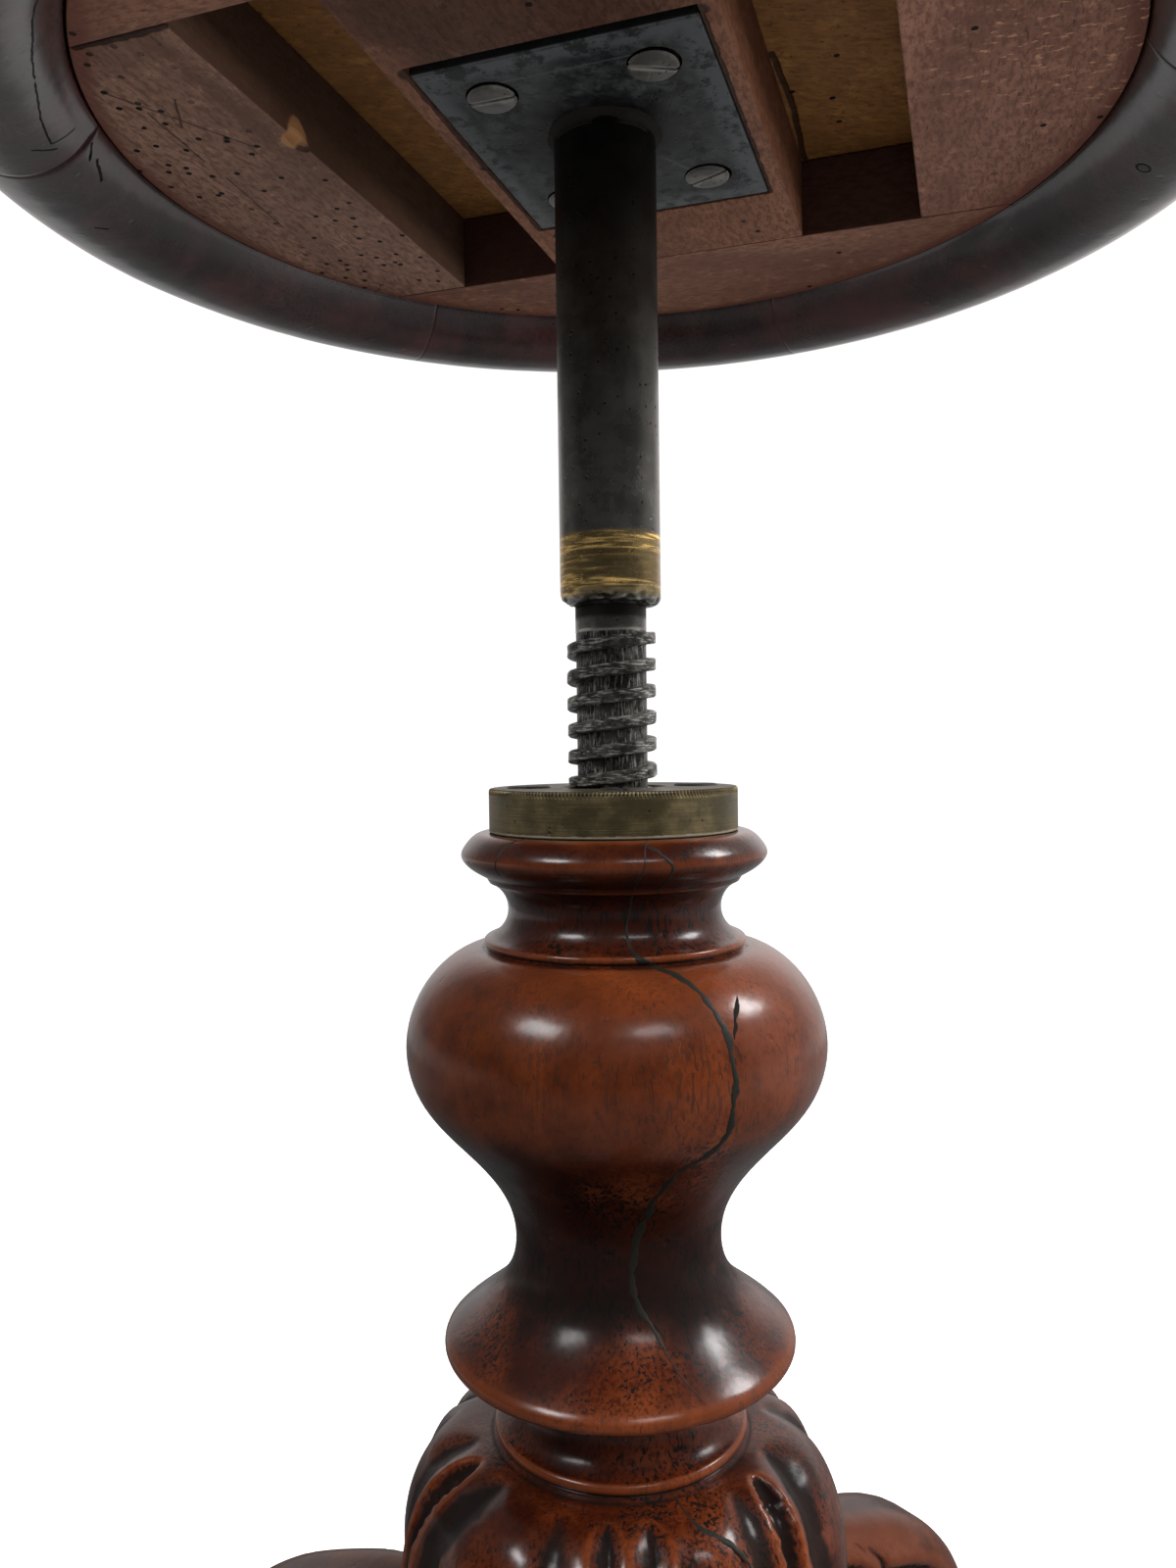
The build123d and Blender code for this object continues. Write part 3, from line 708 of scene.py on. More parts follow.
def side_scratches(place):
    """Scratches and a glue line on the left side board."""
    scratches = (((-66, 115), (-48, 105), (-30, 95)), ((-54, 111), (-27, 113)), ((-57, 100), (-45, 107)),
                 ((-17, 113), (17, 116)))
    masks = [drawn_line(place, [on_rail(*spot) for spot in scratch], width * MM, 0.8 * MM)
             for scratch, width in zip(scratches, (0.7, 0.6, 0.7, 0.5))]
    glue = [on_rail(-83.6, 76), on_rail(-83.2, 88), on_rail(-84, 108)]
    joint = drawn_line(place, glue, 2.6 * MM, 1.8 * MM)
    return maths("MAXIMUM", strongest(masks) * 0.8, joint)


def plate_gap_shade_and_soot(place):
    """Painted shadow in the gaps round the iron plate, widest at its near end, and soot and painted shade by
    that end.
    """
    # dark lines in the gaps round the plate: painted shadow
    edges = [on_rail(-46, -38.4), on_rail(49, -38.4), on_rail(49, 38.4), on_rail(-46, 38.4)]
    masks = [drawn_line(place, [on_rail(-46.6, -38), on_rail(-46.6, 38)], 6 * MM, 1.5 * MM),
             drawn_line(place, edges, 1.6 * MM, 1.2 * MM)]
    # the rail darkened towards its near end: part soot, part painted shade
    near_end = vector_maths("DISTANCE", place, on_rail(-78, 0))
    near_end = near_end + noise_of(place, 60.0, 5.0) * 0.012
    return maths("MAXIMUM", strongest(masks), between(near_end, 0.062, 0.04, 0.0, 0.8))


def fresh_chip(place):
    """Fresh pale wood where the left board's arris is chipped."""
    away = vector_maths("DISTANCE", place, CHIP_PLACE)
    return between(away + noise_of(place, 250.0) * 0.003, 6.8 * MM, 5.5 * MM)


def rubbed_dashes(place):
    """Short pale dashes where the right side board was rubbed, near the rim."""
    turned_place = scaled(place, (1, 1, 0), (0, 0, radians(20)))
    dashes = noise_of(scaled(turned_place, (0.4, 1.0, 1.0)), 560.0, 3.0, 0.6)
    near_rim = between(vector_maths("DISTANCE", place, on_rail(-4, -128)), 0.06, 0.02)
    limit = 0.66 - near_rim * 0.07
    amount = between(dashes - limit, 0.0, 0.07)
    return amount * (near_rim * 0.45 + 0.2)


def dark_glue(place):
    """Dark glue squeezed out along the cross rail, on the golden board."""
    spots = ((84, 43.8), (50, 45.2), (20, 43.6))
    runs = [[on_rail(along * end, across * side, BOARD_UNDERSIDE / MM) for along, across in spots]
            for end in (-1, 1) for side in (-1, 1)]
    masks = [drawn_line(place, run, 2.4 * MM, 1.5 * MM, 120.0) for run in runs]
    flecks = between(noise_of(place, 700.0, 2.0), 0.68, 0.72)
    return maths("MAXIMUM", strongest(masks), flecks * 0.55)


def worn_metal(name, dark, light, roughness, pit_amount=0.25, metallic=1.0, marks_of=None, brushed=0.0):
    """Old metal with pits, scratches, dirt in its hollows and brighter rubbed arrises."""
    material, shader, place = new_material(name)
    wear = place_group(relief_wear, Place=place, Unevenness=0.5)
    marks = place_group(pits_and_scratches, Place=place, Pit_Size=600.0, Pit_Amount=pit_amount)
    clouds = noise_of(place, 90.0, 6.0, 0.65)
    colour = blend_colours(between(clouds, 0.35, 0.7), dark, light)
    height = 0.0 - (marks["Pits"] + marks["Scratches"] * 0.3)
    if brushed:
        rings = noise_of(scaled(place, (0.02, 0.02, 1.0)), 2600.0, 2.0)
        colour = blend_colours(between(rings, 0.45, 0.7, 0.0, 0.6), colour, dark)
        height = height + rings * brushed
    bright = tuple(min(1.0, 1.8 * c) for c in light)
    colour = painted(colour, (wear["Rubbed"] * 0.8, bright), (wear["Dirt"] * 0.85, (0.01, 0.009, 0.008)),
                     (marks["Pits"] * 0.8, (0.012, 0.01, 0.009)))
    rough = between(clouds, 0.3, 0.7, roughness - 0.08, roughness + 0.1) + wear["Dirt"] * 0.3
    if marks_of:
        colour, rough, metallic = marks_of(place, colour, rough, metallic)
    finish_shader(shader, Base_Color=colour, Roughness=rough, Metallic=metallic,
                  Normal=bump(height, 0.0002, 0.6))
    return material


def bright_scores(place, colour, rough, metallic):
    """Bright upright scores and rubbed flecks on the thread, over black grease."""
    out_by = vector_maths("LENGTH", scaled(place, (1, 1, 0)))
    crest = between(out_by, (CREST_R - 1.5) * MM, (CREST_R - 0.9) * MM)
    scores = noise_of(scaled(place, (1.0, 1.0, 0.12)), 2100.0, 4.0, 0.7)
    rubbed = noise_of(scaled(place, (0.16, 0.16, 1.0)), 1700.0, 5.0, 0.7)
    grease = noise_of(place, 300.0, 6.0, 0.7)
    bright = (1.0 - crest) * between(scores, 0.5, 0.64, 0.0, 0.6)
    bright = bright + crest * between(rubbed, 0.5, 0.62, 0.04, 1.0)
    colour = painted(colour, (between(grease, 0.56, 0.42, 0.0, 0.85), (0.008, 0.008, 0.007)),
                     (bright * 0.75, (0.62, 0.61, 0.57)))
    return colour, rough, metallic


def brass_smears(place, colour, rough, metallic):
    """Brass rubbed onto the shank's low end in fine rings, soot and painted shade by the plate, a dark neck.
    """
    height = part_of(place, "Z")
    rings = noise_of(scaled(place, (0.05, 0.05, 1.0)), 300.0, 2.0, 0.5)
    streaks = noise_of(scaled(place, (0.07, 0.07, 1.0)), 1500.0, 3.0, 0.7)
    shoulder, neck, fade = SHANK_END * MM, (SHANK_END - NECK_LENGTH) * MM, 2 * MM
    low, high = shoulder + 1 * MM, shoulder + 20 * MM         # where the brass ends below and above
    band = between(height, low, low + fade) * between(height, high, high - fade)
    strong = between(rings, 0.42, 0.6, 0.1, 1.0) + between(height, high - 3 * MM, high - fade, 0.0, 0.5)
    brassy = band * (strong * between(streaks, 0.42, 0.62, 0.12, 1.0))
    # the shank darkens up towards the plate, under the seat: part soot, part painted shade
    by_plate = between_straight(height + noise_of(place, 45.0, 4.0) * 0.03, 0.48, 0.56)
    # dark on the neck below the shoulder
    on_neck = between(height, shoulder + 0.2 * MM, shoulder - 0.5 * MM) * between(height, neck, neck + fade)
    soot_and_shade = maths("MAXIMUM", by_plate, on_neck)
    colour = painted(colour, (band * 0.8, (0.27, 0.19, 0.075)), (brassy, (0.95, 0.62, 0.2)),
                     (soot_and_shade * 0.92, (0.012, 0.011, 0.01)))
    return colour, rough + soot_and_shade * 0.25, metallic - brassy * 0.35


def soot_shade_and_dust(place, colour, rough, metallic):
    """Soot and painted shade round the plate's middle, painted shade on its upright faces, grey dust
    elsewhere.
    """
    # darker round the shank: part soot, part painted shade
    away = vector_maths("LENGTH", scaled(place, (1, 1, 0)))
    away = away + noise_of(place, 60.0, 5.0, 0.65) * 0.025
    # upright faces, the plate's edges and the countersinks' walls, are darkened: painted shade
    upright = between(maths("ABSOLUTE", facing_up(place)), 0.75, 0.4)
    soot_and_shade = maths("MAXIMUM", between(away, 0.043, 0.026), upright)
    dust = between(noise_of(place, 240.0, 6.0, 0.7), 0.42, 0.66)
    scabs = between(noise_of(place, 130.0, 7.0, 0.75), 0.5, 0.6, 0.0, 0.8)
    colour = painted(colour, (dust * 0.65, (0.1, 0.104, 0.106)), (scabs, (0.012, 0.013, 0.014)),
                     (soot_and_shade * 0.93, (0.008, 0.008, 0.008)))
    return colour, rough + dust * 0.15, metallic


def pale_filler(place, colour, rough, metallic):
    """A ragged whitish line of filler where the collar meets the wood, and tarnish on the top."""
    height = part_of(place, "Z")
    ragged = noise_of(place, 420.0, 4.0, 0.6) * 0.0016
    line = between(height - ragged, COLUMN_TOP + 0.3 * MM, COLUMN_TOP - 0.2 * MM)
    top = between(height, COLLAR_TOP - 0.6 * MM, COLLAR_TOP - 0.2 * MM)
    colour = painted(colour, (line * 0.8, (0.3, 0.27, 0.22)), (top * 0.5, (0.05, 0.045, 0.03)))
    return colour, rough + line * 0.4, metallic


# ---------------------------------------------------------------- the column
RING_R, RING_Z = 43.6, 360.2
NECK_R, NECK_Z = 30.5, 345.0
FILLET_R, FILLET_Z = 37.0, 336.0
BULB_R, BULB_Z = 59.9, 307.0
WAIST_R, WAIST_Z = 29.7, 250.0
FLANGE_R, FLANGE_Z = 50.2, 222.5
BEAD_R, BEAD_Z = 36.6, 196.2
VASE_R, VASE_Z = 64.5, 158.0
BLOCK_R, BLOCK_TOP = 47.0, 124.0


def column_profile():
    """The outline of the turning: its bore, then from the collar's seat down to its foot, in mm."""
    top, foot = COLUMN_TOP / MM, COLUMN_FOOT / MM
    sleeve_r, sleeve_bottom = SLEEVE_R + SLEEVE_GAP, SLEEVE_BOTTOM - SLEEVE_GAP
    line = [(CENTRE_R, WELL_BOTTOM), (WELL_R, WELL_BOTTOM)]
    line += [(WELL_R, sleeve_bottom), (sleeve_r, sleeve_bottom)]
    straight(line, (sleeve_r, top))
    straight(line, (RING_R - 5.4, top), 8)
    curve(line, [(RING_R - 1.4, RING_Z + 3.2), (RING_R, RING_Z), (RING_R - 1.6, RING_Z - 2.7),
                 (RING_R - 7.0, RING_Z - 6.2)], (1, -0.25), (-1, -0.6), 26)
    straight(line, (RING_R - 7.8, RING_Z - 7.6), 3)
    arc(line, (NECK_R, NECK_Z), (FILLET_R - 0.4, FILLET_Z + 0.8), 24)
    arc(line, (FILLET_R + 0.5, FILLET_Z - 0.5), (FILLET_R - 0.6, FILLET_Z - 1.5), 7)
    straight(line, (FILLET_R + 0.9, FILLET_Z - 2.1), 3)
    curve(line, [(BULB_R - 9.5, 328.2), (BULB_R - 2.4, 318.0), (BULB_R, BULB_Z), (BULB_R - 3.0, 294.0),
                 (BULB_R - 12.3, 282.0), (WAIST_R + 7.5, 270.0), (WAIST_R + 1.2, 258.0), (WAIST_R, WAIST_Z),
                 (WAIST_R + 2.1, 240.0), (WAIST_R + 11.0, 230.0), (FLANGE_R, FLANGE_Z)],
          (1, 0.02), (0.72, -0.7), 72)
    arc(line, (FLANGE_R + 0.35, FLANGE_Z - 1.4), (FLANGE_R - 1.2, FLANGE_Z - 3.8), 7)
    straight(line, (BEAD_R + 2.4, FLANGE_Z - 5.5), 4)
    arc(line, (BEAD_R - 6.4, BEAD_Z + 14.0), (BEAD_R - 1.6, BEAD_Z + 1.6), 26)
    arc(line, (BEAD_R, BEAD_Z), (BEAD_R - 1.4, BEAD_Z - 1.7), 7)
    straight(line, (BEAD_R + 0.8, BEAD_Z - 2.8), 3)
    curve(line, [(VASE_R - 12.0, VASE_Z + 31.5), (VASE_R - 3.6, VASE_Z + 20.0), (VASE_R, VASE_Z),
                 (VASE_R - 5.0, VASE_Z - 20.0), (BLOCK_R, BLOCK_TOP)], (1, 0.0), (-0.9, -0.5), 86)
    straight(line, (BLOCK_R, foot), 12)
    straight(line, (CENTRE_R, foot), 4)
    return line


def column_radius(height):
    """The turning's radius at this height, in mm."""
    line = sorted((z, radius) for radius, z in column_profile() if radius > SLEEVE_R + 5)
    return float(np.interp(height, [z for z, _ in line], [radius for _, radius in line]))


CARVING_SHIFT = -8.5     # the carver set the pattern out this far round from the legs
# Cuts on the lower bulb, each as: turn of its tip and turn of its foot, in degrees from a leg's axis, how far
# its tip is down the swell from the quirk, half width, and depth. Every cut is repeated for the three legs.
GOUGES = ((-5.8, -5.2, 6.5, 5.2, 3.0), (8.0, 5.4, 6.5, 5.6, 2.7))
SLOTS = ((54.0, 47.5, 6.0, 4.6, 6.5),)
HOLLOWS = ((-22.0, -19.0, 5.0, 6.6, 2.2), (18.0, 20.0, 12.0, 5.6, 1.8),
           (-50.0, -60.0, 4.0, 8.6, 3.4), (42.0, 37.0, 4.0, 7.0, 2.6))
SWELL_LENGTH = 86.0      # from the quirk down to the swell's foot, along the surface


def carving_depth(turn, down, radius):
    """How deep the carver cut at this turn from the leg's axis and this far down the swell, in mm."""
    deepest = 0.0
    for cuts, kind in ((GOUGES, "pointed"), (SLOTS, "slot"), (HOLLOWS, "round")):
        for tip_turn, foot_turn, tip, half_width, depth in cuts:
            along = (down - tip) / (SWELL_LENGTH - tip)
            if along <= 0 or along >= 1:
                continue
            middle = tip_turn + (foot_turn - tip_turn) * min(1.0, 3 * along)
            opening = min(1.0, (down - tip) / (12.0 if kind == "round" else 9.0)) ** 0.7
            if kind == "slot":
                opening *= max(0.0, 1 - max(0.0, along - 0.3) / 0.3)
            else:
                opening *= min(1.0, 3.5 * (1 - along))
            if opening <= 0.02:
                continue
            across = abs(radians((turn - middle + 180) % 360 - 180)) * radius / (half_width * opening ** 0.6)
            if across < 2.2:
                shape = {"round": exp(-1.3 * across**2), "pointed": max(0.0, 1 - across) ** 1.1,
                         "slot": max(0.0, 1 - across**3)}[kind]
                deepest = max(deepest, depth * opening * shape)
    return deepest


def make_column():
    """The turned column, with the carving on its lower bulb."""
    profile = column_profile()
    column = turned("turned_column", profile, 320)
    swell = [(radius, height) for radius, height in profile if height <= BEAD_Z - 2.8 + 0.01]
    lengths = lengths_along(swell)
    heights = [-height for _, height in swell]
    depths = []

    def carve(place):
        height = place.z / MM
        if not BLOCK_TOP + 2 < height < BEAD_Z - 2.8:
            depths.append(0.0)
            return place
        down = float(np.interp(-height, heights, lengths))
        turn = degrees(atan2(place.y, place.x))
        nearest = (turn + 90 - CARVING_SHIFT + 60) % 120 - 60
        radius = place.xy.length / MM
        depth = max(carving_depth(nearest + shift, down, radius) for shift in (-120, 0, 120))
        depths.append(depth)
        lean = limited((down - 4) / 30)
        return drawn_in(place, depth * (0.35 + 0.65 * lean), depth * (0.9 - 0.9 * lean))

    move_points(column, carve)
    mark_relief(column, 12, 900.0)
    for relief, depth in zip(column.data.attributes["relief"].data, depths):
        relief.value = max(0.0, relief.value - 0.13 * min(depth, 2.6))
    fit_out(column, "base", mahogany, "column")


# ---------------------------------------------------------------- the legs
ROOT_END, ROOT_UNDERSIDE, STRAP_END = 43.65, 58.0, 77.0
TOE_X, TOE_Z, TOE_R, TOE_WIDTH = 181.0, 13.0, 15.0, 30.0
TOE_SCROLL_PITCH, TOE_SCROLL_DEPTH, TOE_SWELL = 6.2, 1.9, 0.035
# Outer edge and inner edge of the side outline, width, and rounding of the outer and inner corners
LEG_STATIONS = (
    ((ROOT_END, 122.0), (ROOT_END, ROOT_UNDERSIDE), 32.0, 8.0, 1.5),
    ((62.0, 127.5), (62.0, ROOT_UNDERSIDE), 33.0, 11.0, 1.5),
    ((81.0, 128.5), (STRAP_END, 58.2), 34.5, 13.0, 2.5),
    ((101.0, 124.5), (90.0, 75.0), 36.0, 14.0, 6.0),
    ((121.5, 117.0), (104.0, 87.0), 36.0, 13.5, 8.0),
    ((138.0, 106.0), (117.0, 84.5), 34.0, 12.5, 9.0),
    ((151.5, 90.0), (127.5, 73.0), 31.0, 11.5, 9.0),
    ((159.0, 71.5), (132.0, 61.0), 27.0, 10.0, 8.5),
    ((160.0, 54.0), (135.0, 47.0), 24.0, 9.0, 7.5),
    ((160.5, 40.0), (139.5, 32.0), 23.0, 8.5, 7.5),
    ((166.5, 31.5), (147.0, 17.5), 24.5, 8.5, 7.5),
    ((176.0, 27.5), (162.0, 7.0), 26.0, 8.0, 7.0),
    ((183.0, 24.0), (178.0, 6.0), 27.0, 6.0, 6.0),
)
KNEE_EYE = (80.0, 101.0)
KNEE_SCROLL_R, KNEE_SCROLL_PITCH, KNEE_SCROLL_DEPTH = 25.0, 10.5, 3.2
BAND_WIDTH = 11.5        # of the plain band along the leg's outer edge
PANEL_START, PANEL_DEPTH = 96.0, 1.7      # where the flank is let down inside the band, and how far


def leg_ring(outer, inner, width, outer_round, inner_round, count):
    """One section of the leg, as (reach, sideways, height), with its corners rounded."""
    (ox, oz), (ix, iz) = outer, inner
    depth = sqrt((ox - ix) ** 2 + (oz - iz) ** 2)
    half = width / 2
    corners = ((depth - outer_round, half - outer_round, outer_round, 90),
               (depth - outer_round, outer_round - half, outer_round, 0),
               (inner_round, inner_round - half, inner_round, -90),
               (inner_round, half - inner_round, inner_round, 180))
    line = []
    for up, side, rounding, start in corners:
        for i in range(8):
            swing = radians(start - 90 * i / 7)
            line.append((up + rounding * cos(swing), side + rounding * sin(swing)))
    closed = line + [line[0]]
    lengths = lengths_along(closed)
    ring = []
    for i in range(count):
        up = np.interp(lengths[-1] * i / count, lengths, [point[0] for point in closed])
        side = np.interp(lengths[-1] * i / count, lengths, [point[1] for point in closed])
        ring.append((ix + (ox - ix) * up / depth, float(side), iz + (oz - iz) * up / depth))
    return ring


def scroll_depth(across, up, outer, pitch, deepest):
    """Depth of a spiral channel round an eye, for a carved scroll."""
    radius = sqrt(across**2 + up**2)
    eye = 0.2 * outer
    if radius > outer or radius < eye:
        return 0.0
    phase = (radius / pitch - atan2(up, across) / (2 * pi)) % 1
    edge = min(1.0, (outer - radius) / 1.6) * min(1.0, (radius - eye) / 1.2)
    return deepest * edge * sin(pi * min(1.0, phase / 0.72)) ** 0.8 if phase < 0.72 else 0.0


def make_leg(number, turn):
    """A scroll leg: the swept limb with its band and knee scroll, and the toe's scroll."""
    count, around = 150, 72
    stations = np.linspace(0, 1, len(LEG_STATIONS))
    knots = [np.array([station[i] for station in LEG_STATIONS]) for i in (2, 3, 4)]
    outer_knots = np.array([station[0] for station in LEG_STATIONS])
    inner_knots = np.array([station[1] for station in LEG_STATIONS])
    rings = []
    for i in range(count + 1):
        t = i / count
        outer = smooth_at(outer_knots, t)
        inner = smooth_at(inner_knots, t)
        width, outer_round, inner_round = (float(np.interp(t, stations, knot)) for knot in knots)
        if t < 2 / (len(LEG_STATIONS) - 1):
            inner = (inner[0], ROOT_UNDERSIDE)
        rings.append(leg_ring(outer, inner, width, outer_round, inner_round, around))
    outer_line = np.array([ring_edge(ring) for ring in rings])

    def carve(point):
        reach, side, height = point
        flank = limited((abs(side) - 6.0) / 5.0)
        if flank == 0:
            return point
        to_edge = np.sqrt(((outer_line - (reach, height)) ** 2).sum(axis=1)).min()
        cut = 0.0
        if reach > PANEL_START:
            band = BAND_WIDTH * (1.35 - 0.55 * min(1.0, reach / 170))
            cut = PANEL_DEPTH * limited((to_edge - band) / 1.3)
        across, up = reach - KNEE_EYE[0], height - KNEE_EYE[1]
        cut = max(cut if across**2 + up**2 > KNEE_SCROLL_R**2 else 0.0,
                  scroll_depth(across, up, KNEE_SCROLL_R, KNEE_SCROLL_PITCH, KNEE_SCROLL_DEPTH))
        return (reach, side - cut * flank * (1 if side > 0 else -1), height)

    rings = [[carve(point) for point in ring] for ring in rings]
    limb = skinned(f"scroll_leg_{number}", [[in_frame(point, turn) for point in ring] for ring in rings])
    toe = make_toe(turn)
    select_only(limb)
    toe.select_set(True)
    bpy.ops.object.join()
    mark_relief(limb, 8, 900.0)
    fit_out(limb, "base", leg_mahogany, f"leg_{number}")


def smooth_at(knots, t):
    """A point on the smooth curve through evenly numbered knots, at t from 0 to 1."""
    place = min(t * (len(knots) - 1), len(knots) - 1.0001)
    i = int(place)
    u = place - i
    before, a, b, after = (knots[min(max(i + step, 0), len(knots) - 1)] for step in (-1, 0, 1, 2))
    point = 0.5 * (2 * a + (b - before) * u + (2 * before - 5 * a + 4 * b - after) * u**2
                   + (3 * a - before - 3 * b + after) * u**3)
    return float(point[0]), float(point[1])


def ring_edge(ring):
    """The middle of a section's outer edge."""
    top = max(range(len(ring)), key=lambda i: -abs(ring[i][1]) - 0.001 * i if i < len(ring) // 3 else -99)
    return ring[top][0], ring[top][2]


def in_frame(point, turn):
    """A point given as (reach, sideways, height) in mm, turned to its leg's direction, in metres."""
    reach, side, height = point
    return ((reach * cos(turn) - side * sin(turn)) * MM, (reach * sin(turn) + side * cos(turn)) * MM,
            height * MM)


def make_toe(turn):
    """The toe: a short drum on its side, flat below, with a scroll cut in each face."""
    half = TOE_WIDTH / 2
    profile = [(0.05, half)]
    straight(profile, (TOE_R - 1.6, half), 24)
    arc(profile, (TOE_R - 0.45, half - 0.45), (TOE_R, half - 1.6), 5)
    straight(profile, (TOE_R, 1.6 - half), 14)
    arc(profile, (TOE_R - 0.45, 0.45 - half), (TOE_R - 1.6, -half), 5)
    straight(profile, (0.05, -half), 24)
    toe = turned("toe", profile, 120)

    def shape(place):
        across, up, side = place.x / MM, place.y / MM, place.z / MM
        if abs(side) > half - 1.2:
            cut = scroll_depth(across, up, TOE_R - 1.4, TOE_SCROLL_PITCH, TOE_SCROLL_DEPTH)
            side -= cut * (1 if side > 0 else -1)
        swell = 1 + TOE_SWELL * (1 - (side / half) ** 2)
        height = max(TOE_Z + up * swell, 0.0)
        return Vector(in_frame((TOE_X + min(across * swell, TOE_R), side, height), turn))

    move_points(toe, shape)
    return tidy_mesh(toe)


# ---------------------------------------------------------------- the seat's frame
CHIP_PLACE = on_rail(-28, 81.5, UNDERSIDE / MM + 1.5)
CHIP_BITES = ((-28.0, (5.0, 2.2, 3.0)), (-24.4, (3.0, 2.6, 2.0)))     # place along the rail, and size, in mm
BOARDS = (                                                             # node, piece, easing in mm, slot
    ("frame_side_right", "right_side_board", 0.6, "frame_wood"),
    ("frame_end_far", "far_end_board", 0.5, "frame_wood"),
    ("frame_end_near", "near_end_board", 0.5, "frame_wood"),
    ("cross_rail", "rail_board", 0.7, "frame_wood"),
    ("seat_board", "upper_board", 0.5, "board_wood"),
)


def make_frame():
    """The four boards, the cross rail and the board above, with their arrises eased."""
    left = eased("frame_side_left", "left_side_board", 0.6)
    for along, size in CHIP_BITES:
        select_none()
        bpy.ops.mesh.primitive_uv_sphere_add(segments=24, ring_count=14, radius=MM)
        tool = bpy.context.object
        tool.matrix_world = (Matrix.Translation(on_rail(along, 81.8))
                             @ Matrix.Rotation(RAIL_TURN, 4, "Z") @ Matrix.Diagonal((*size, 1)))
        cut_away(left, tool)
    fit_out(left, "seat", left_board, "frame_side_left")
    timbers = (right_board, end_grain, end_grain, rail_timber, golden_board)
    for (node, name, width, slot), timber in zip(BOARDS, timbers):
        fit_plain(node, name, width, "seat", timber)


PLATE_SCREW_R = 6.75
SINK_DEPTH = 2.4         # of the worn countersink round a screw's head
SINK_SHIFT = Vector((0, -1.3, 0.9)) * MM        # it is worn off centre


def plate_screw_spots():
    """Where the plate's four screws are, as places in metres."""
    return [on_rail(2.0 + 30.5 * along, 22.0 * across) for along in (-1, 1) for across in (-1, 1)]


def make_plate():
    """The iron plate with worn countersinks, and its screws."""
    plate = eased("spindle_plate", "iron_plate", 0.7)
    for spot in plate_screw_spots():
        countersink(plate, spot + SINK_SHIFT, PLATE_SCREW_R + 0.3, PLATE_SCREW_R, SINK_DEPTH)
    plate.data.attributes.remove(plate.data.attributes["relief"])
    mark_relief(plate, 1, 250.0)
    fit_out(plate, "seat", iron, "spindle_plate")
    fit_plain("plate_screws", "four_plate_screws", 0.25, "seat", screw_steel)


def make_brazing():
    """The lumpy fillet of brazing between the shank and the plate."""
    top, inner = PLATE_UNDERSIDE / MM, SHANK_R - 1.0
    line = [(inner, top - 3.4), (SHANK_R + 0.15, top - 3.2)]
    arc(line, (SHANK_R + 0.7, top - 1.0), (SHANK_R + 1.9, top - 0.15), 9)
    line += [(SHANK_R + 2.1, top + 0.5), (inner, top + 0.5), line[0]]
    braze = turned("brazed_fillet", line, 120)

    def lumpy(place):
        return drawn_in(place, -0.5 * noise.noise(place * 160))

    move_points(braze, lumpy)
    fit_out(braze, "seat", sooty_brass)


RIM_INNER, RIM_R = 138.3, 182.0
RIM_JOINTS = (53.2, 108.8, 175.3, 255.5, 333.8)
SPLIT_ROUTE = ((142.4, 178.6, 0), (148.0, 179.3, 0), (147.3, 184.0, 0), (146.0, 189.0, 0),
               (145.5, 194.0, 0), (145.3, 200.0, 0), (145.2, 208.0, 0))
RIM_MARKS = (((152.5, 179.7, 0), (147.5, 178.1, 0)), ((154.5, 163.4, 0), (152.2, 162.3, 0)),
             ((141.0, 175.0, 0), (143.0, 173.4, 0)), ((142.0, 172.5, 0), (143.8, 169.5, 0)))
RIM_DIMPLE = (150.2, 350.8, 0)


def rim_section():
    """The outline of the rim moulding, from its top inner edge round below, as (radius, height) in mm."""
    under, bottom, top = UNDERSIDE / MM, RIM_BOTTOM / MM, RIM_TOP / MM
    line = [(RIM_INNER, top)]
    straight(line, (RIM_INNER, under + 0.4), 7)
    arc(line, (RIM_INNER + 0.15, under + 0.1), (RIM_INNER + 0.3, under - 0.4), 3)
    arc(line, (RIM_INNER + 9.25, bottom + 3.6), (RIM_INNER + 22.0, bottom), 26)
    reach, drop = RIM_R - line[-1][0], 21.5
    quarter = [0.5 * pi * i / 30 for i in range(1, 31)]
    line += [(RIM_R - reach * (1 - sin(t)), bottom + drop * (1 - cos(t))) for t in quarter]
    straight(line, (RIM_R - 1.0, top - 8.0), 10)
    arc(line, (RIM_R - 3.4, top - 2.4), (RIM_R - 9.0, top), 10)
    straight(line, (RIM_INNER, top), 14)
    return line[:-1]


RIM_GAP = 0.03                             # at each end of a length, in degrees
RIM_END_STEPS = (0.0, 0.04, 0.12, 0.5)     # how the stations close up at a joint, in degrees from its gap
OPEN_JOINT_TURN, OPEN_JOINT = 17.5, 1.3    # where the rim stands off the frame, and how far in mm
PROUD_LENGTH, PROUD_STEP = 3, 0.9          # the length that stands proud of its neighbours, and how far in mm


def rim_stations(sweep):
    """Where the sections of a length of rim stand, in degrees, closer together at its ends."""
    steps = round(2 * sweep)
    start, run = RIM_GAP + RIM_END_STEPS[-1], sweep - 2 * (RIM_GAP + RIM_END_STEPS[-1])
    return ([RIM_GAP + step for step in RIM_END_STEPS] + [start + run * i / steps for i in range(1, steps)]
            + [sweep - RIM_GAP - step for step in reversed(RIM_END_STEPS)])


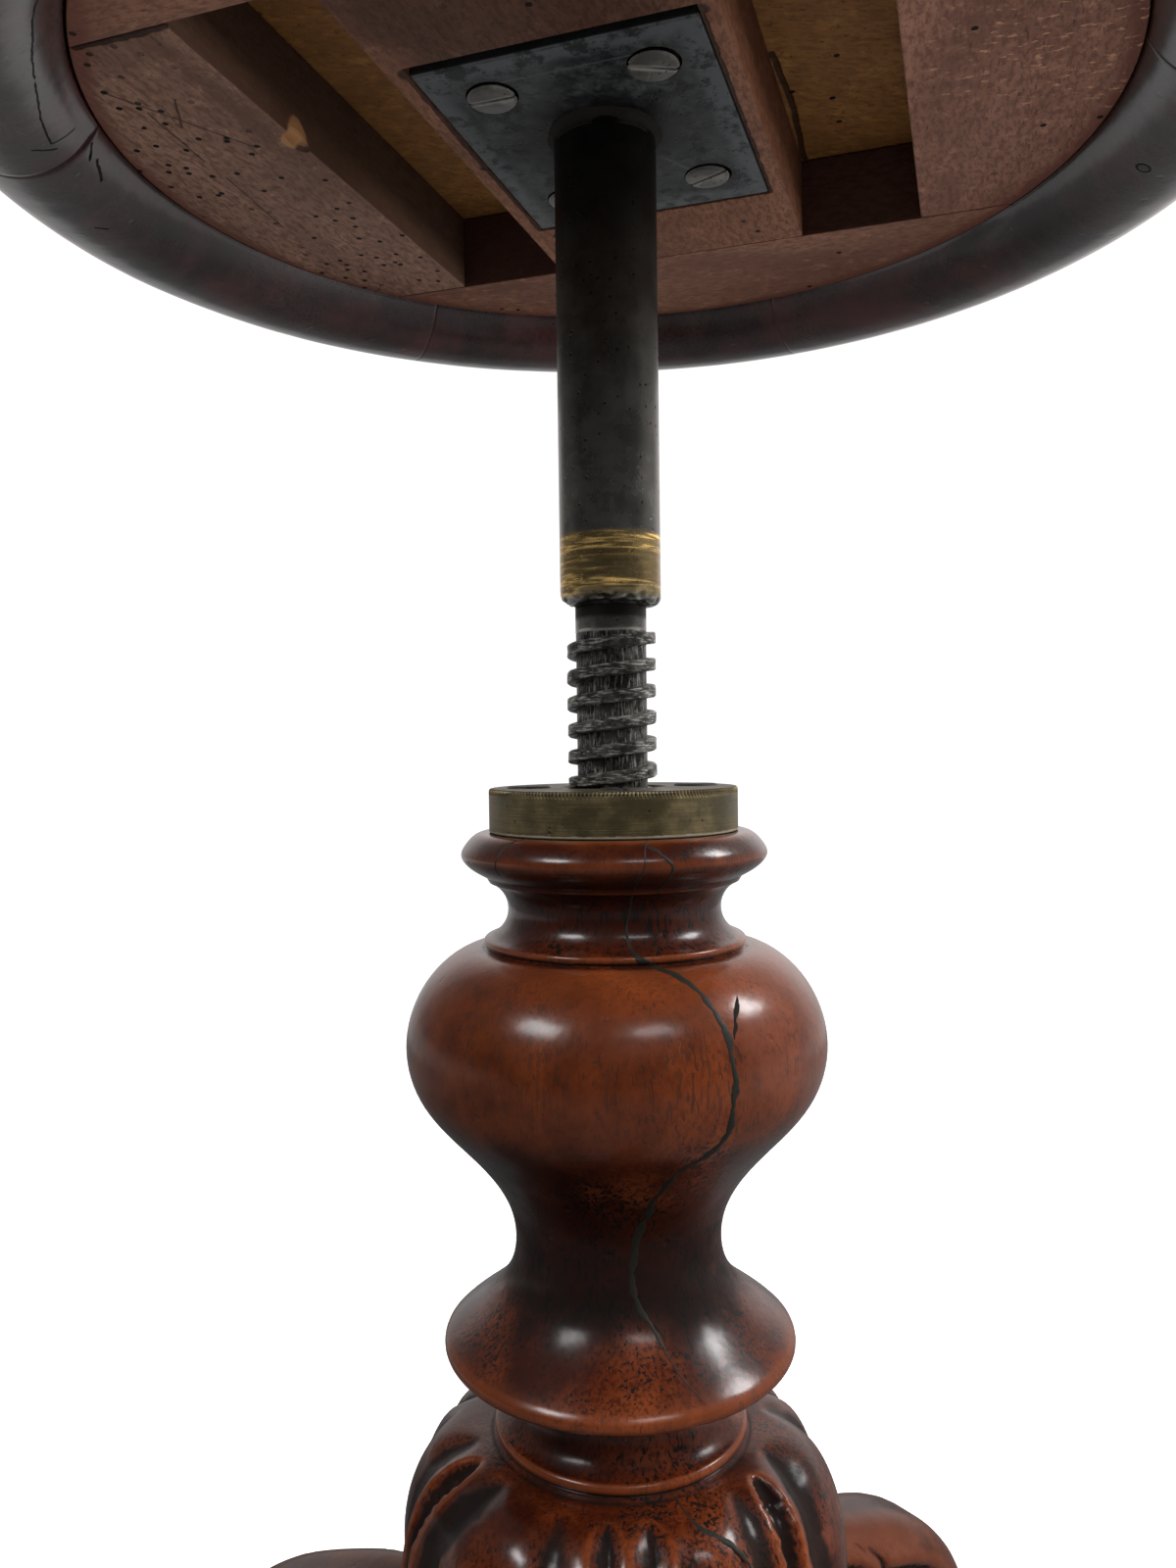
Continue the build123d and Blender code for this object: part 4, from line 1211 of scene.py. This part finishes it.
def make_rim():
    """The rim moulding in its five lengths, dented by use and open a little at the joints."""
    section = rim_section()
    middle_r, middle_z = (sum(point[axis] for point in section) / len(section) for axis in (0, 1))
    for number, start in enumerate(RIM_JOINTS, start=1):
        sweep = (RIM_JOINTS[number % len(RIM_JOINTS)] - start) % 360
        rings = []
        for along in rim_stations(sweep):
            to_end = min(along, sweep - along) - RIM_GAP
            shrink = 1 - 0.006 * (1 - min(1.0, to_end / 0.12)) ** 2
            turn = start + along
            near_opening = max(0.0, 1 - abs(turn % 360 - OPEN_JOINT_TURN) / 6.5)
            ring = []
            for radius, height in section:
                spot = polar(radius, turn, height)
                dent = 0.16 * (1 + noise.noise(spot * 28)) + 0.05 * (1 + noise.noise(spot * 110))
                hangs = limited((UNDERSIDE / MM + 1 - height) / 4)
                shift = OPEN_JOINT * hangs * near_opening * max(0.0, 1 - (radius - RIM_INNER) / 6)
                if number == PROUD_LENGTH:
                    shift += PROUD_STEP * hangs * limited((middle_r - radius) / 9)
                out_by, up_by = radius - middle_r, height - middle_z
                pull = shrink - dent / sqrt(out_by**2 + up_by**2)
                ring.append(polar(middle_r + out_by * pull + shift, turn, middle_z + up_by * pull))
            rings.append(ring)
        segment = skinned(f"rim_length_{number}", rings)
        mark_relief(segment, 4, 1200.0)
        fit_out(segment, "seat", rim_mahogany, f"rim_segment_{number}")


def rim_marks(place):
    """The split in the rim, its short cuts, and its dimple, whose dark ring is painted shade."""
    place = scaled(place, (1, 1, 0))
    masks = [drawn_line(place, [polar(*spot) for spot in SPLIT_ROUTE], 0.65 * MM, 1.0 * MM)]
    for start, end in RIM_MARKS:
        masks.append(drawn_line(place, [polar(*start), polar(*end)], 0.9 * MM, 1.0 * MM))
    # the dimple's dark ring with a paler middle is painted shade on its wall
    away = vector_maths("DISTANCE", place, polar(*RIM_DIMPLE))
    masks.append(between(away, 2.3 * MM, 1.8 * MM) * between(away, 1.1 * MM, 1.6 * MM, 0.25, 1.0))
    return strongest(masks)


# ---------------------------------------------------------------- the upholstered top
PAD_SWELL = 3.0          # how far the stuffing may lift the leather, in mm
PAD_PUCKERS = 46         # round the edge
CLOTH_FRAMES = 20        # how long the leather is let settle over its stuffing


def settle_leather(pad, nailed_below):
    """Let the stuffing press the leather out a little. Below this height, in mm, it is nailed down."""
    apply_modifier(pad, "REMESH", mode="VOXEL", voxel_size=5 * MM)
    rest = [vertex.co.copy() for vertex in pad.data.vertices]
    group = pad.vertex_groups.new(name="nailed")
    group.add([v.index for v in pad.data.vertices if v.co.z < nailed_below * MM], 1.0, "REPLACE")
    select_only(pad)
    cloth = pad.modifiers.new("leather", "CLOTH")
    cloth.settings.use_pressure = True
    cloth.settings.uniform_pressure_force = 4.0
    cloth.settings.effector_weights.gravity = 0.0
    cloth.settings.vertex_group_mass = "nailed"
    for step in range(CLOTH_FRAMES):
        bpy.context.scene.frame_set(step + 1)
    bpy.ops.object.modifier_apply(modifier="leather")
    bpy.context.scene.frame_set(1)
    for vertex, start in zip(pad.data.vertices, rest):
        shift = vertex.co - start
        if shift.length > PAD_SWELL * MM:
            vertex.co = start + shift.normalized() * PAD_SWELL * MM
    pad.vertex_groups.clear()


def make_pad():
    """The stuffed leather top: crowned, drawn down at its edge, with small puckers there."""
    low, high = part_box("seat_pad")[0].z / MM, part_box("seat_pad")[1].z / MM
    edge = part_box("seat_pad")[1].x / MM - 1.5
    line = [(0.001, low + 0.1)]
    straight(line, (edge - 5.0, low + 0.1), 12)
    arc(line, (edge, low + 6.0), (edge - 3.0, low + 12.0), 6)
    curve(line, [(edge * 0.55, high - 7.5), (0.001, high - 2.5)], (-0.8, 0.6), (-1, 0), 14)
    pad = turned("leather_top", line, 72)
    settle_leather(pad, low + 2.5)
    apply_modifier(pad, "SUBSURF", levels=1, render_levels=1)

    def pucker(place):
        reach = place.xy.length / MM
        turn = atan2(place.y, place.x)
        height = max(place.z / MM, low + 0.05)
        near_edge = limited((reach - edge + 26) / 22) * limited((height - low - 3) / 4)
        fold = sin(turn * PAD_PUCKERS + 3 * noise.noise(Vector((cos(turn), sin(turn), 0)) * 2.5))
        creases = noise.noise(place * 30) * 0.8 + noise.noise(place * 90) * 0.25
        height += 0.55 * fold * near_edge + creases * limited((height - low - 6) / 8)
        return Vector((place.x, place.y, max(height, low + 0.05) * MM))

    move_points(pad, pucker)
    fit_out(pad, "seat", leather, "seat_pad")


GIMP_WAVES, GIMP_STRANDS = 116, 3
GIMP_CORD, GIMP_SWAY, GIMP_LIFT = 1.4 * MM, 1.9 * MM, 1.7 * MM      # a cord's radius, and its waves


def make_gimp():
    """The gimp round the top's edge, plaited of three cords."""
    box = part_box("seat_gimp")
    thick = (box[1].z - box[0].z) / 2
    ring_r, ring_z = box[1].x - thick, box[0].z + thick
    around, steps = 8, GIMP_WAVES * 12
    points, faces = [], []
    for strand in range(GIMP_STRANDS):
        first = len(points)
        for i in range(steps):
            turn = 2 * pi * i / steps
            phase = GIMP_WAVES * turn + 2 * pi * strand / GIMP_STRANDS
            radius, height = ring_r + GIMP_SWAY * sin(phase), ring_z + GIMP_LIFT * sin(2 * phase)
            outwards = Vector((cos(turn), sin(turn), 0))
            for k in range(around):
                swing = 2 * pi * k / around
                point = outwards * (radius + GIMP_CORD * cos(swing))
                points.append((point.x, point.y, height + GIMP_CORD * sin(swing)))
        for i in range(steps):
            for k in range(around):
                here, there = first + i * around, first + (i + 1) % steps * around
                faces.append((here + k, there + k, there + (k + 1) % around, here + (k + 1) % around))
    gimp = tidy_mesh(new_piece("plaited_gimp", points, faces))
    fit_out(gimp, "seat", braid, "seat_gimp")


def soft_leather():
    """Dark red-brown leather with a fine grain, rubbed paler in clouds."""
    material, shader, place = new_material("seat_leather")
    cells = add_node(tree_of(place), "TexVoronoi", {"Vector": place, "Scale": 850.0},
                     feature="DISTANCE_TO_EDGE")
    grain = between(cells[0], 0.0, 0.16)
    clouds = noise_of(place, 16.0, 5.0, 0.6)
    colour = blend_colours(between(clouds, 0.35, 0.65), (0.05, 0.014, 0.009), (0.11, 0.03, 0.017))
    colour = blend_colours(grain, (0.02, 0.007, 0.005), colour)
    height = grain + noise_of(place, 120.0, 4.0) * 2.0
    finish_shader(shader, Base_Color=colour, Roughness=between(clouds, 0.3, 0.7, 0.42, 0.58),
                  Normal=bump(height, 0.00025, 0.6))
    return material


def twisted_braid():
    """Brown silk braid, with the lay of its threads as fine slanting ridges."""
    material, shader, place = new_material("silk_braid")
    turn = maths("ARCTAN2", part_of(place, "Y"), part_of(place, "X"))
    ridges = maths("SINE", turn * 1900.0 + part_of(place, "Z") * 5200.0)
    fuzz = noise_of(place, 900.0, 3.0)
    amount = between(ridges, -0.8, 0.8)
    colour = blend_colours(amount, (0.05, 0.022, 0.012), (0.17, 0.085, 0.045))
    colour = blend_colours(fuzz * 0.5, colour, (0.09, 0.045, 0.026))
    finish_shader(shader, Base_Color=colour, Roughness=0.75, Normal=bump(amount, 0.0002, 0.7),
                  Sheen_Weight=0.3)
    return material


# ---------------------------------------------------------------- the steel screw
SHANK_R, SHANK_END = 14.3, 430.5
CORE_R, CREST_R, PITCH, THREAD_WIDTH = 10.0, 12.7, 7.5, 3.5
NECK_LENGTH, THREAD_STOP = 5.0, 2.8      # the thread stops this far below the neck


def make_shank():
    """The plain shank, from its chipped shoulder up to the iron plate."""
    top = PLATE_UNDERSIDE / MM
    neck = SHANK_END - NECK_LENGTH
    line = [(CENTRE_R, neck - 6)]
    straight(line, (CORE_R - 0.6, neck - 6), 3)
    straight(line, (CORE_R - 0.6, neck - 3.4), 2)
    straight(line, (CORE_R + 0.1, neck - 2.7), 1)
    straight(line, (CORE_R + 0.1, SHANK_END), 8)
    straight(line, (SHANK_R - 1.4, SHANK_END), 3)
    arc(line, (SHANK_R - 0.5, SHANK_END + 0.7), (SHANK_R, SHANK_END + 1.9), 5)
    straight(line, (SHANK_R, top - 2.0), 110)
    straight(line, (SHANK_R, top + 5.5), 6)
    straight(line, (CENTRE_R, top + 5.5), 3)
    shank = turned("shank", line, 160)

    def chip(place):
        height = place.z / MM
        low = SHANK_END + 3.5 - height
        if low < 0 or height < SHANK_END - 1 or place.xy.length < (CORE_R + 1) * MM:
            return place
        ragged = 1.3 * noise.noise(Vector((place.x, place.y, 0)) * 85) + 0.5 * noise.noise(place * 420)
        towards_eye = max(0.0, -place.y / place.xy.length)
        bite = min(2.4, max(0.0, ragged * 2.2 + 0.1 + 0.9 * towards_eye)) * min(1.0, low / 3.0)
        return drawn_in(place, bite, -0.6 * bite)

    move_points(shank, chip)
    mark_relief(shank, 6, 1500.0)
    fit_out(shank, "seat", gunmetal_shank, "spindle")


def make_screw_thread():
    """The square thread, as one turn of its section repeated up the screw."""
    half = THREAD_WIDTH / 2
    section = [(CORE_R, -PITCH / 2), (CORE_R, -half - 0.35), (CORE_R + 0.3, -half),
               (CREST_R - 0.35, -half + 0.05), (CREST_R, -half + 0.4), (CREST_R, 0.0), (CREST_R, half - 0.4),
               (CREST_R - 0.35, half - 0.05), (CORE_R + 0.3, half), (CORE_R, half + 0.35),
               (CORE_R, PITCH / 2)]
    bottom, top = THREAD_BOTTOM / MM, SHANK_END - NECK_LENGTH - THREAD_STOP
    start = bottom - PITCH - 3.0
    outline = [(radius * MM, 0, (start + height) * MM) for radius, height in section]
    thread = new_line("square_thread", outline)
    turns = int((top - start) / PITCH) + 2
    apply_modifier(thread, "SCREW", axis="Z", angle=2 * pi, screw_offset=PITCH * MM, iterations=turns,
                   steps=72, render_steps=72, use_merge_vertices=True, merge_threshold=1e-6)
    tidy_mesh(thread)
    select_only(thread)
    bpy.ops.object.mode_set(mode="EDIT")
    for height, side in ((bottom, -1), (top, 1)):
        bpy.ops.mesh.select_all(action="SELECT")
        bpy.ops.mesh.bisect(plane_co=(0, 0, height * MM), plane_no=(0, 0, side), use_fill=True,
                            clear_outer=True)
    bpy.ops.mesh.select_all(action="SELECT")
    bpy.ops.mesh.normals_make_consistent(inside=False)
    bpy.ops.object.mode_set(mode="OBJECT")

    def batter(place):
        radius = place.xy.length / MM
        if radius < CORE_R + 1:
            return place
        return drawn_in(place, 0.35 * max(0.0, noise.noise(place * 350) + 0.1))

    move_points(thread, batter)
    smooth_below(thread, 35)
    mark_relief(thread, 2, 900.0)
    fit_out(thread, "seat", gunmetal)


# ---------------------------------------------------------------- the brass collar
TOOTH_COUNT = 210
COLLAR_BORE, NUT_BORE, NUT_SUNK = 14.8, 13.0, 20.0      # radii, and how deep in the collar the nut begins
COLLAR_SCREW_REACH = 24.0
COLLAR_SINK = (3.4, 6.9, 4.2)                           # lower and upper radius, and depth


def make_collar():
    """The brass collar, with the milled arris round its top."""
    top, seat, rim = COLLAR_TOP / MM, COLUMN_TOP / MM + 0.15, COLLAR_R / MM
    line = [(NUT_BORE, SLEEVE_BOTTOM), (NUT_BORE, top - NUT_SUNK - 1.5), (COLLAR_BORE, top - NUT_SUNK)]
    straight(line, (COLLAR_BORE, top - 0.6), 4)
    straight(line, (COLLAR_BORE + 0.6, top), 2)
    straight(line, (rim - 1.0, top), 16)
    arc(line, (rim - 0.25, top - 0.2), (rim, top - 0.9), 5)
    straight(line, (rim, seat + 0.3), 14)
    straight(line, (rim - 0.3, seat), 1)
    straight(line, (SLEEVE_R, seat), 4)
    line += [(SLEEVE_R, SLEEVE_BOTTOM), line[0]]
    collar = turned("brass_collar", line, TOOTH_COUNT * 4)

    def mill(place):
        radius, height = place.xy.length / MM, place.z / MM
        if radius < rim - 1.05 or height < top - 1.6:
            return place
        phase = (atan2(place.y, place.x) / (2 * pi) * TOOTH_COUNT) % 1
        cut = 0.45 * (1 - abs(2 * phase - 1)) * min(1.0, (height - top + 1.6) / 0.7)
        return drawn_in(place, cut)

    move_points(collar, mill)
    for number in range(4):
        spot = polar(COLLAR_SCREW_REACH, 90 * number - 3.5, top - 1.5)
        countersink(collar, spot, *COLLAR_SINK)
    mark_relief(collar, 2, 2500.0)
    smooth_below(collar, 35)
    fit_out(collar, "base", aged_brass, "collar_nut")


# ---------------------------------------------------------------- the studio
EYE_REACH, EYE_HEIGHT = 0.332, 0.392
EYE_TURN, EYE_TILT, EYE_ROLL = radians(-1.23), radians(-2.1), radians(-0.77)
LENS, FILM = 26.62, 36.0         # focal length, and the longer side of the picture, in mm
TOWARDS_EYE = (sin(EYE_BEARING), -cos(EYE_BEARING), 0.0)


def make_camera():
    """The camera close in front of the column, just above the collar."""
    data = bpy.data.cameras.new("camera")
    data.lens, data.sensor_width, data.clip_start = LENS, FILM, 0.01
    camera = bpy.data.objects.new("camera", data)
    bpy.context.scene.collection.objects.link(camera)
    eye = Vector((EYE_REACH * sin(EYE_BEARING), -EYE_REACH * cos(EYE_BEARING), EYE_HEIGHT))
    turn = EYE_TURN - EYE_BEARING
    ahead = Vector((sin(turn) * cos(EYE_TILT), cos(turn) * cos(EYE_TILT), sin(EYE_TILT)))
    camera.matrix_world = (Matrix.Translation(eye) @ ahead.to_track_quat("-Z", "Y").to_matrix().to_4x4()
                           @ Matrix.Rotation(EYE_ROLL, 4, "Z"))
    bpy.context.scene.camera = camera


def softbox(name, bearing, elevation, distance, size, power, mirrored=True):
    """A soft light. A bearing is positive to the camera's right. A fill isn't mirrored in the polish."""
    data = bpy.data.lights.new(name, "AREA")
    data.shape, data.size, data.size_y, data.energy = "RECTANGLE", size[0], size[1], power
    light = bpy.data.objects.new(name, data)
    light.visible_glossy = mirrored
    bpy.context.scene.collection.objects.link(light)
    turn, rise = radians(bearing) + EYE_BEARING - pi / 2, radians(elevation)
    aim = Vector((0, 0, 0.33))
    away = Vector((cos(turn) * cos(rise), sin(turn) * cos(rise), sin(rise)))
    facing = away.to_track_quat("Z", "Y").to_matrix().to_4x4()
    light.matrix_world = Matrix.Translation(aim + away * distance) @ facing


def make_floor():
    """A pale floor, which looks white to the camera and lends a low sheen from in front."""
    select_none()
    bpy.ops.mesh.primitive_plane_add(size=24.0, location=(0, 0, 0))
    floor = bpy.context.object
    floor.name = "floor"
    material, shader, place = new_material("pale_floor")
    ray = add_node(material.node_tree, "LightPath")
    seen = ray["Is Camera Ray"]
    away = vector_maths("LENGTH", place)
    ahead = vector_maths("DOT_PRODUCT", vector_maths("NORMALIZE", place), TOWARDS_EYE)
    sheen = between(away, 0.45, 0.9, 0.0, 0.14) + between(away, 1.3, 1.8, 0.0, 0.35)
    sheen = sheen * between(ahead, 0.7, 0.1) * ray["Is Glossy Ray"]
    shown = seen * between(away, 0.5, 3.0, 0.85, 1.0)
    glow = shown + ray["Is Diffuse Ray"] * 0.4
    finish_shader(shader, Base_Color=blend_colours(seen, (0.1, 0.1, 0.1), (0.8, 0.8, 0.8)),
                  Roughness=0.9, Emission_Color=(1, 1, 1, 1), Emission_Strength=glow + sheen)
    floor.data.materials.append(material)


def make_surround():
    """A white surround, whose walls are dim in reflections and brighter on the right."""
    world = bpy.data.worlds.new("studio")
    bpy.context.scene.world = world
    world.use_nodes = True
    tree = world.node_tree
    tree.nodes.clear()
    ray = add_node(tree, "LightPath")
    looking = add_node(tree, "TexCoord")["Generated"]
    towards_eye = vector_maths("DOT_PRODUCT", looking, TOWARDS_EYE)
    to_right = vector_maths("DOT_PRODUCT", looking, (cos(EYE_BEARING), sin(EYE_BEARING), 0.0))
    sides = between(towards_eye, 0.45, -0.3) * between(to_right, -0.4, 0.6, 0.14, 0.42)
    back = between(towards_eye, -0.5, -0.9, 0.0, 0.55) * between(part_of(looking, "Z"), -0.05, 0.25, 0.6, 1.0)
    walls = sides + 0.03 + back
    soft = walls * ray["Is Glossy Ray"] + ray["Is Diffuse Ray"] * between(to_right, -0.7, 0.9, 0.03, 0.3)
    seen = add_node(tree, "Background", {"Color": (1, 1, 1, 1), "Strength": 1.05})[0]
    around = add_node(tree, "Background", {"Color": (1.0, 0.95, 0.94, 1), "Strength": soft})[0]
    mixed = add_node(tree, "MixShader", {0: ray["Is Camera Ray"], 1: around, 2: seen})[0]
    add_node(tree, "OutputWorld", {"Surface": mixed})


def make_studio():
    """The floor, the surround, three softboxes that glint on the polish and three fills that don't."""
    make_floor()
    make_surround()
    # bearing and elevation in degrees, distance and size in metres, and power in watts
    softbox("left_softbox", -51, 43, 1.6, (0.5, 0.3), 10)
    softbox("front_softbox", 24, 46, 1.6, (0.6, 0.16), 3.2)
    softbox("right_softbox", 97, 38, 1.5, (0.34, 0.34), 9)
    softbox("left_fill", -45, 30, 1.5, (0.9, 0.9), 5, mirrored=False)
    softbox("front_fill", 12, 38, 1.5, (0.9, 0.9), 9, mirrored=False)
    softbox("right_fill", 84, 14, 1.4, (0.9, 1.1), 30, mirrored=False)
    bpy.context.scene.view_settings.view_transform = "Standard"
    bpy.context.scene.view_settings.look = "None"


# ---------------------------------------------------------------- finishes
mahogany = polished_mahogany(
    "mahogany_polish", dark=(0.017, 0.003, 0.0014), middle=(0.078, 0.0145, 0.0036),
    light=(0.18, 0.041, 0.0105), dirt=(0.005, 0.004, 0.0035), coat=1.0, pores=0.9, dark_above=0.334,
    # darkened patches: on the bulb's left part stain, part painted shade; on the waist's front painted shade,
    # a dark reflection
    stain_and_shade_patches=((polar(58, 214, 300), 0.042), (Vector((-0.008, -0.012, 0.262)), 0.04)))
crack_filler = crack_stopping("dark_stopping", colour=(0.0065, 0.0062, 0.0045), roughness=0.5)
# near black: painted shade for the open split and the flange cut
painted_gap_shade = crack_stopping("open_gap_painted_shade", colour=(0.004, 0.003, 0.002), roughness=0.8)
leg_mahogany = polished_mahogany(
    "leg_polish", dark=(0.022, 0.0048, 0.0022), middle=(0.07, 0.0165, 0.0062), light=(0.14, 0.038, 0.0145),
    dirt=(0.005, 0.004, 0.0035), coat=0.65)
rim_mahogany = polished_mahogany(
    "rim_polish", dark=(0.02, 0.011, 0.011), middle=(0.04, 0.02, 0.019), light=(0.075, 0.034, 0.031),
    dirt=(0.004, 0.0035, 0.0035), coat=0.9, pores=0.3, crack=rim_marks, tint=(0.075, 0.021, 0.021),
    coat_ior=1.75)
left_board = bare_timber(
    "left_board_timber", dark=(0.115, 0.056, 0.036), light=(0.38, 0.21, 0.145), grain_turn=RAIL_TURN,
    holes=0.5, dark_marks=side_scratches, pale_marks=fresh_chip, wall_stain_and_shade=(0.06, 0.032, 0.02))
right_board = bare_timber(
    "right_board_timber", dark=(0.14, 0.058, 0.038), light=(0.46, 0.22, 0.145), grain_turn=RAIL_TURN,
    holes=0.03, pale_marks=rubbed_dashes, pale=(0.8, 0.42, 0.24))
rail_timber = bare_timber(
    "rail_timber", dark=(0.12, 0.046, 0.025), light=(0.36, 0.165, 0.095), grain_turn=RAIL_TURN, holes=0.08,
    dark_marks=plate_gap_shade_and_soot)
end_grain = bare_timber(
    "end_board_timber", dark=(0.14, 0.056, 0.034), light=(0.36, 0.175, 0.11), grain_turn=RAIL_TURN + pi / 2,
    holes=0.08, wall_stain_and_shade=(0.02, 0.006, 0.004))
golden_board = bare_timber(
    "golden_timber", dark=(0.16, 0.066, 0.018), light=(0.4, 0.19, 0.055), grain_turn=0.0, holes=0.08,
    dark_marks=dark_glue)
iron = worn_metal(
    "black_iron", dark=(0.022, 0.024, 0.026), light=(0.06, 0.064, 0.067), roughness=0.5, metallic=0.3,
    marks_of=soot_shade_and_dust)
gunmetal = worn_metal(
    "gunmetal_thread", dark=(0.03, 0.028, 0.025), light=(0.12, 0.115, 0.105), roughness=0.38,
    pit_amount=0.2, metallic=0.8, marks_of=bright_scores)
gunmetal_shank = worn_metal(
    "gunmetal_shank", dark=(0.145, 0.14, 0.128), light=(0.245, 0.24, 0.22), roughness=0.24, pit_amount=0.14,
    metallic=0.9, marks_of=brass_smears)
screw_steel = worn_metal(
    "dull_steel", dark=(0.085, 0.082, 0.072), light=(0.21, 0.2, 0.18), roughness=0.42, metallic=0.35)
black_steel = worn_metal(
    "blackened_steel", dark=(0.015, 0.014, 0.013), light=(0.05, 0.047, 0.042), roughness=0.5, metallic=0.5)
aged_brass = worn_metal(
    "aged_brass", dark=(0.055, 0.044, 0.021), light=(0.15, 0.112, 0.052), roughness=0.42, pit_amount=0.1,
    metallic=0.6, marks_of=pale_filler, brushed=0.9)
sooty_brass = worn_metal(
    "sooty_brass", dark=(0.02, 0.014, 0.009), light=(0.085, 0.052, 0.028), roughness=0.5, pit_amount=0.3,
    metallic=0.4)

leather = soft_leather()
braid = twisted_braid()

make_studio()
make_camera()
make_column()
make_cracks()
for number, turn in enumerate(LEG_TURNS, start=1):
    make_leg(number, turn)
make_shank()
make_screw_thread()
make_collar()
fit_plain("collar_screws", "four_collar_screws", 0.25, "base", black_steel)
fit_plain("strap_screws", "six_strap_screws", 0.2, "base", screw_steel)
make_frame()
make_plate()
make_brazing()
make_rim()
fit_plain("base_strap", "iron_strap", 0.5, "base", iron)
fit_plain("stop_washer", "iron_washer", 0.4, "stop", iron)
fit_plain("stop_screw", "washer_screw", 0.25, "seat", screw_steel)
make_pad()
make_gimp()
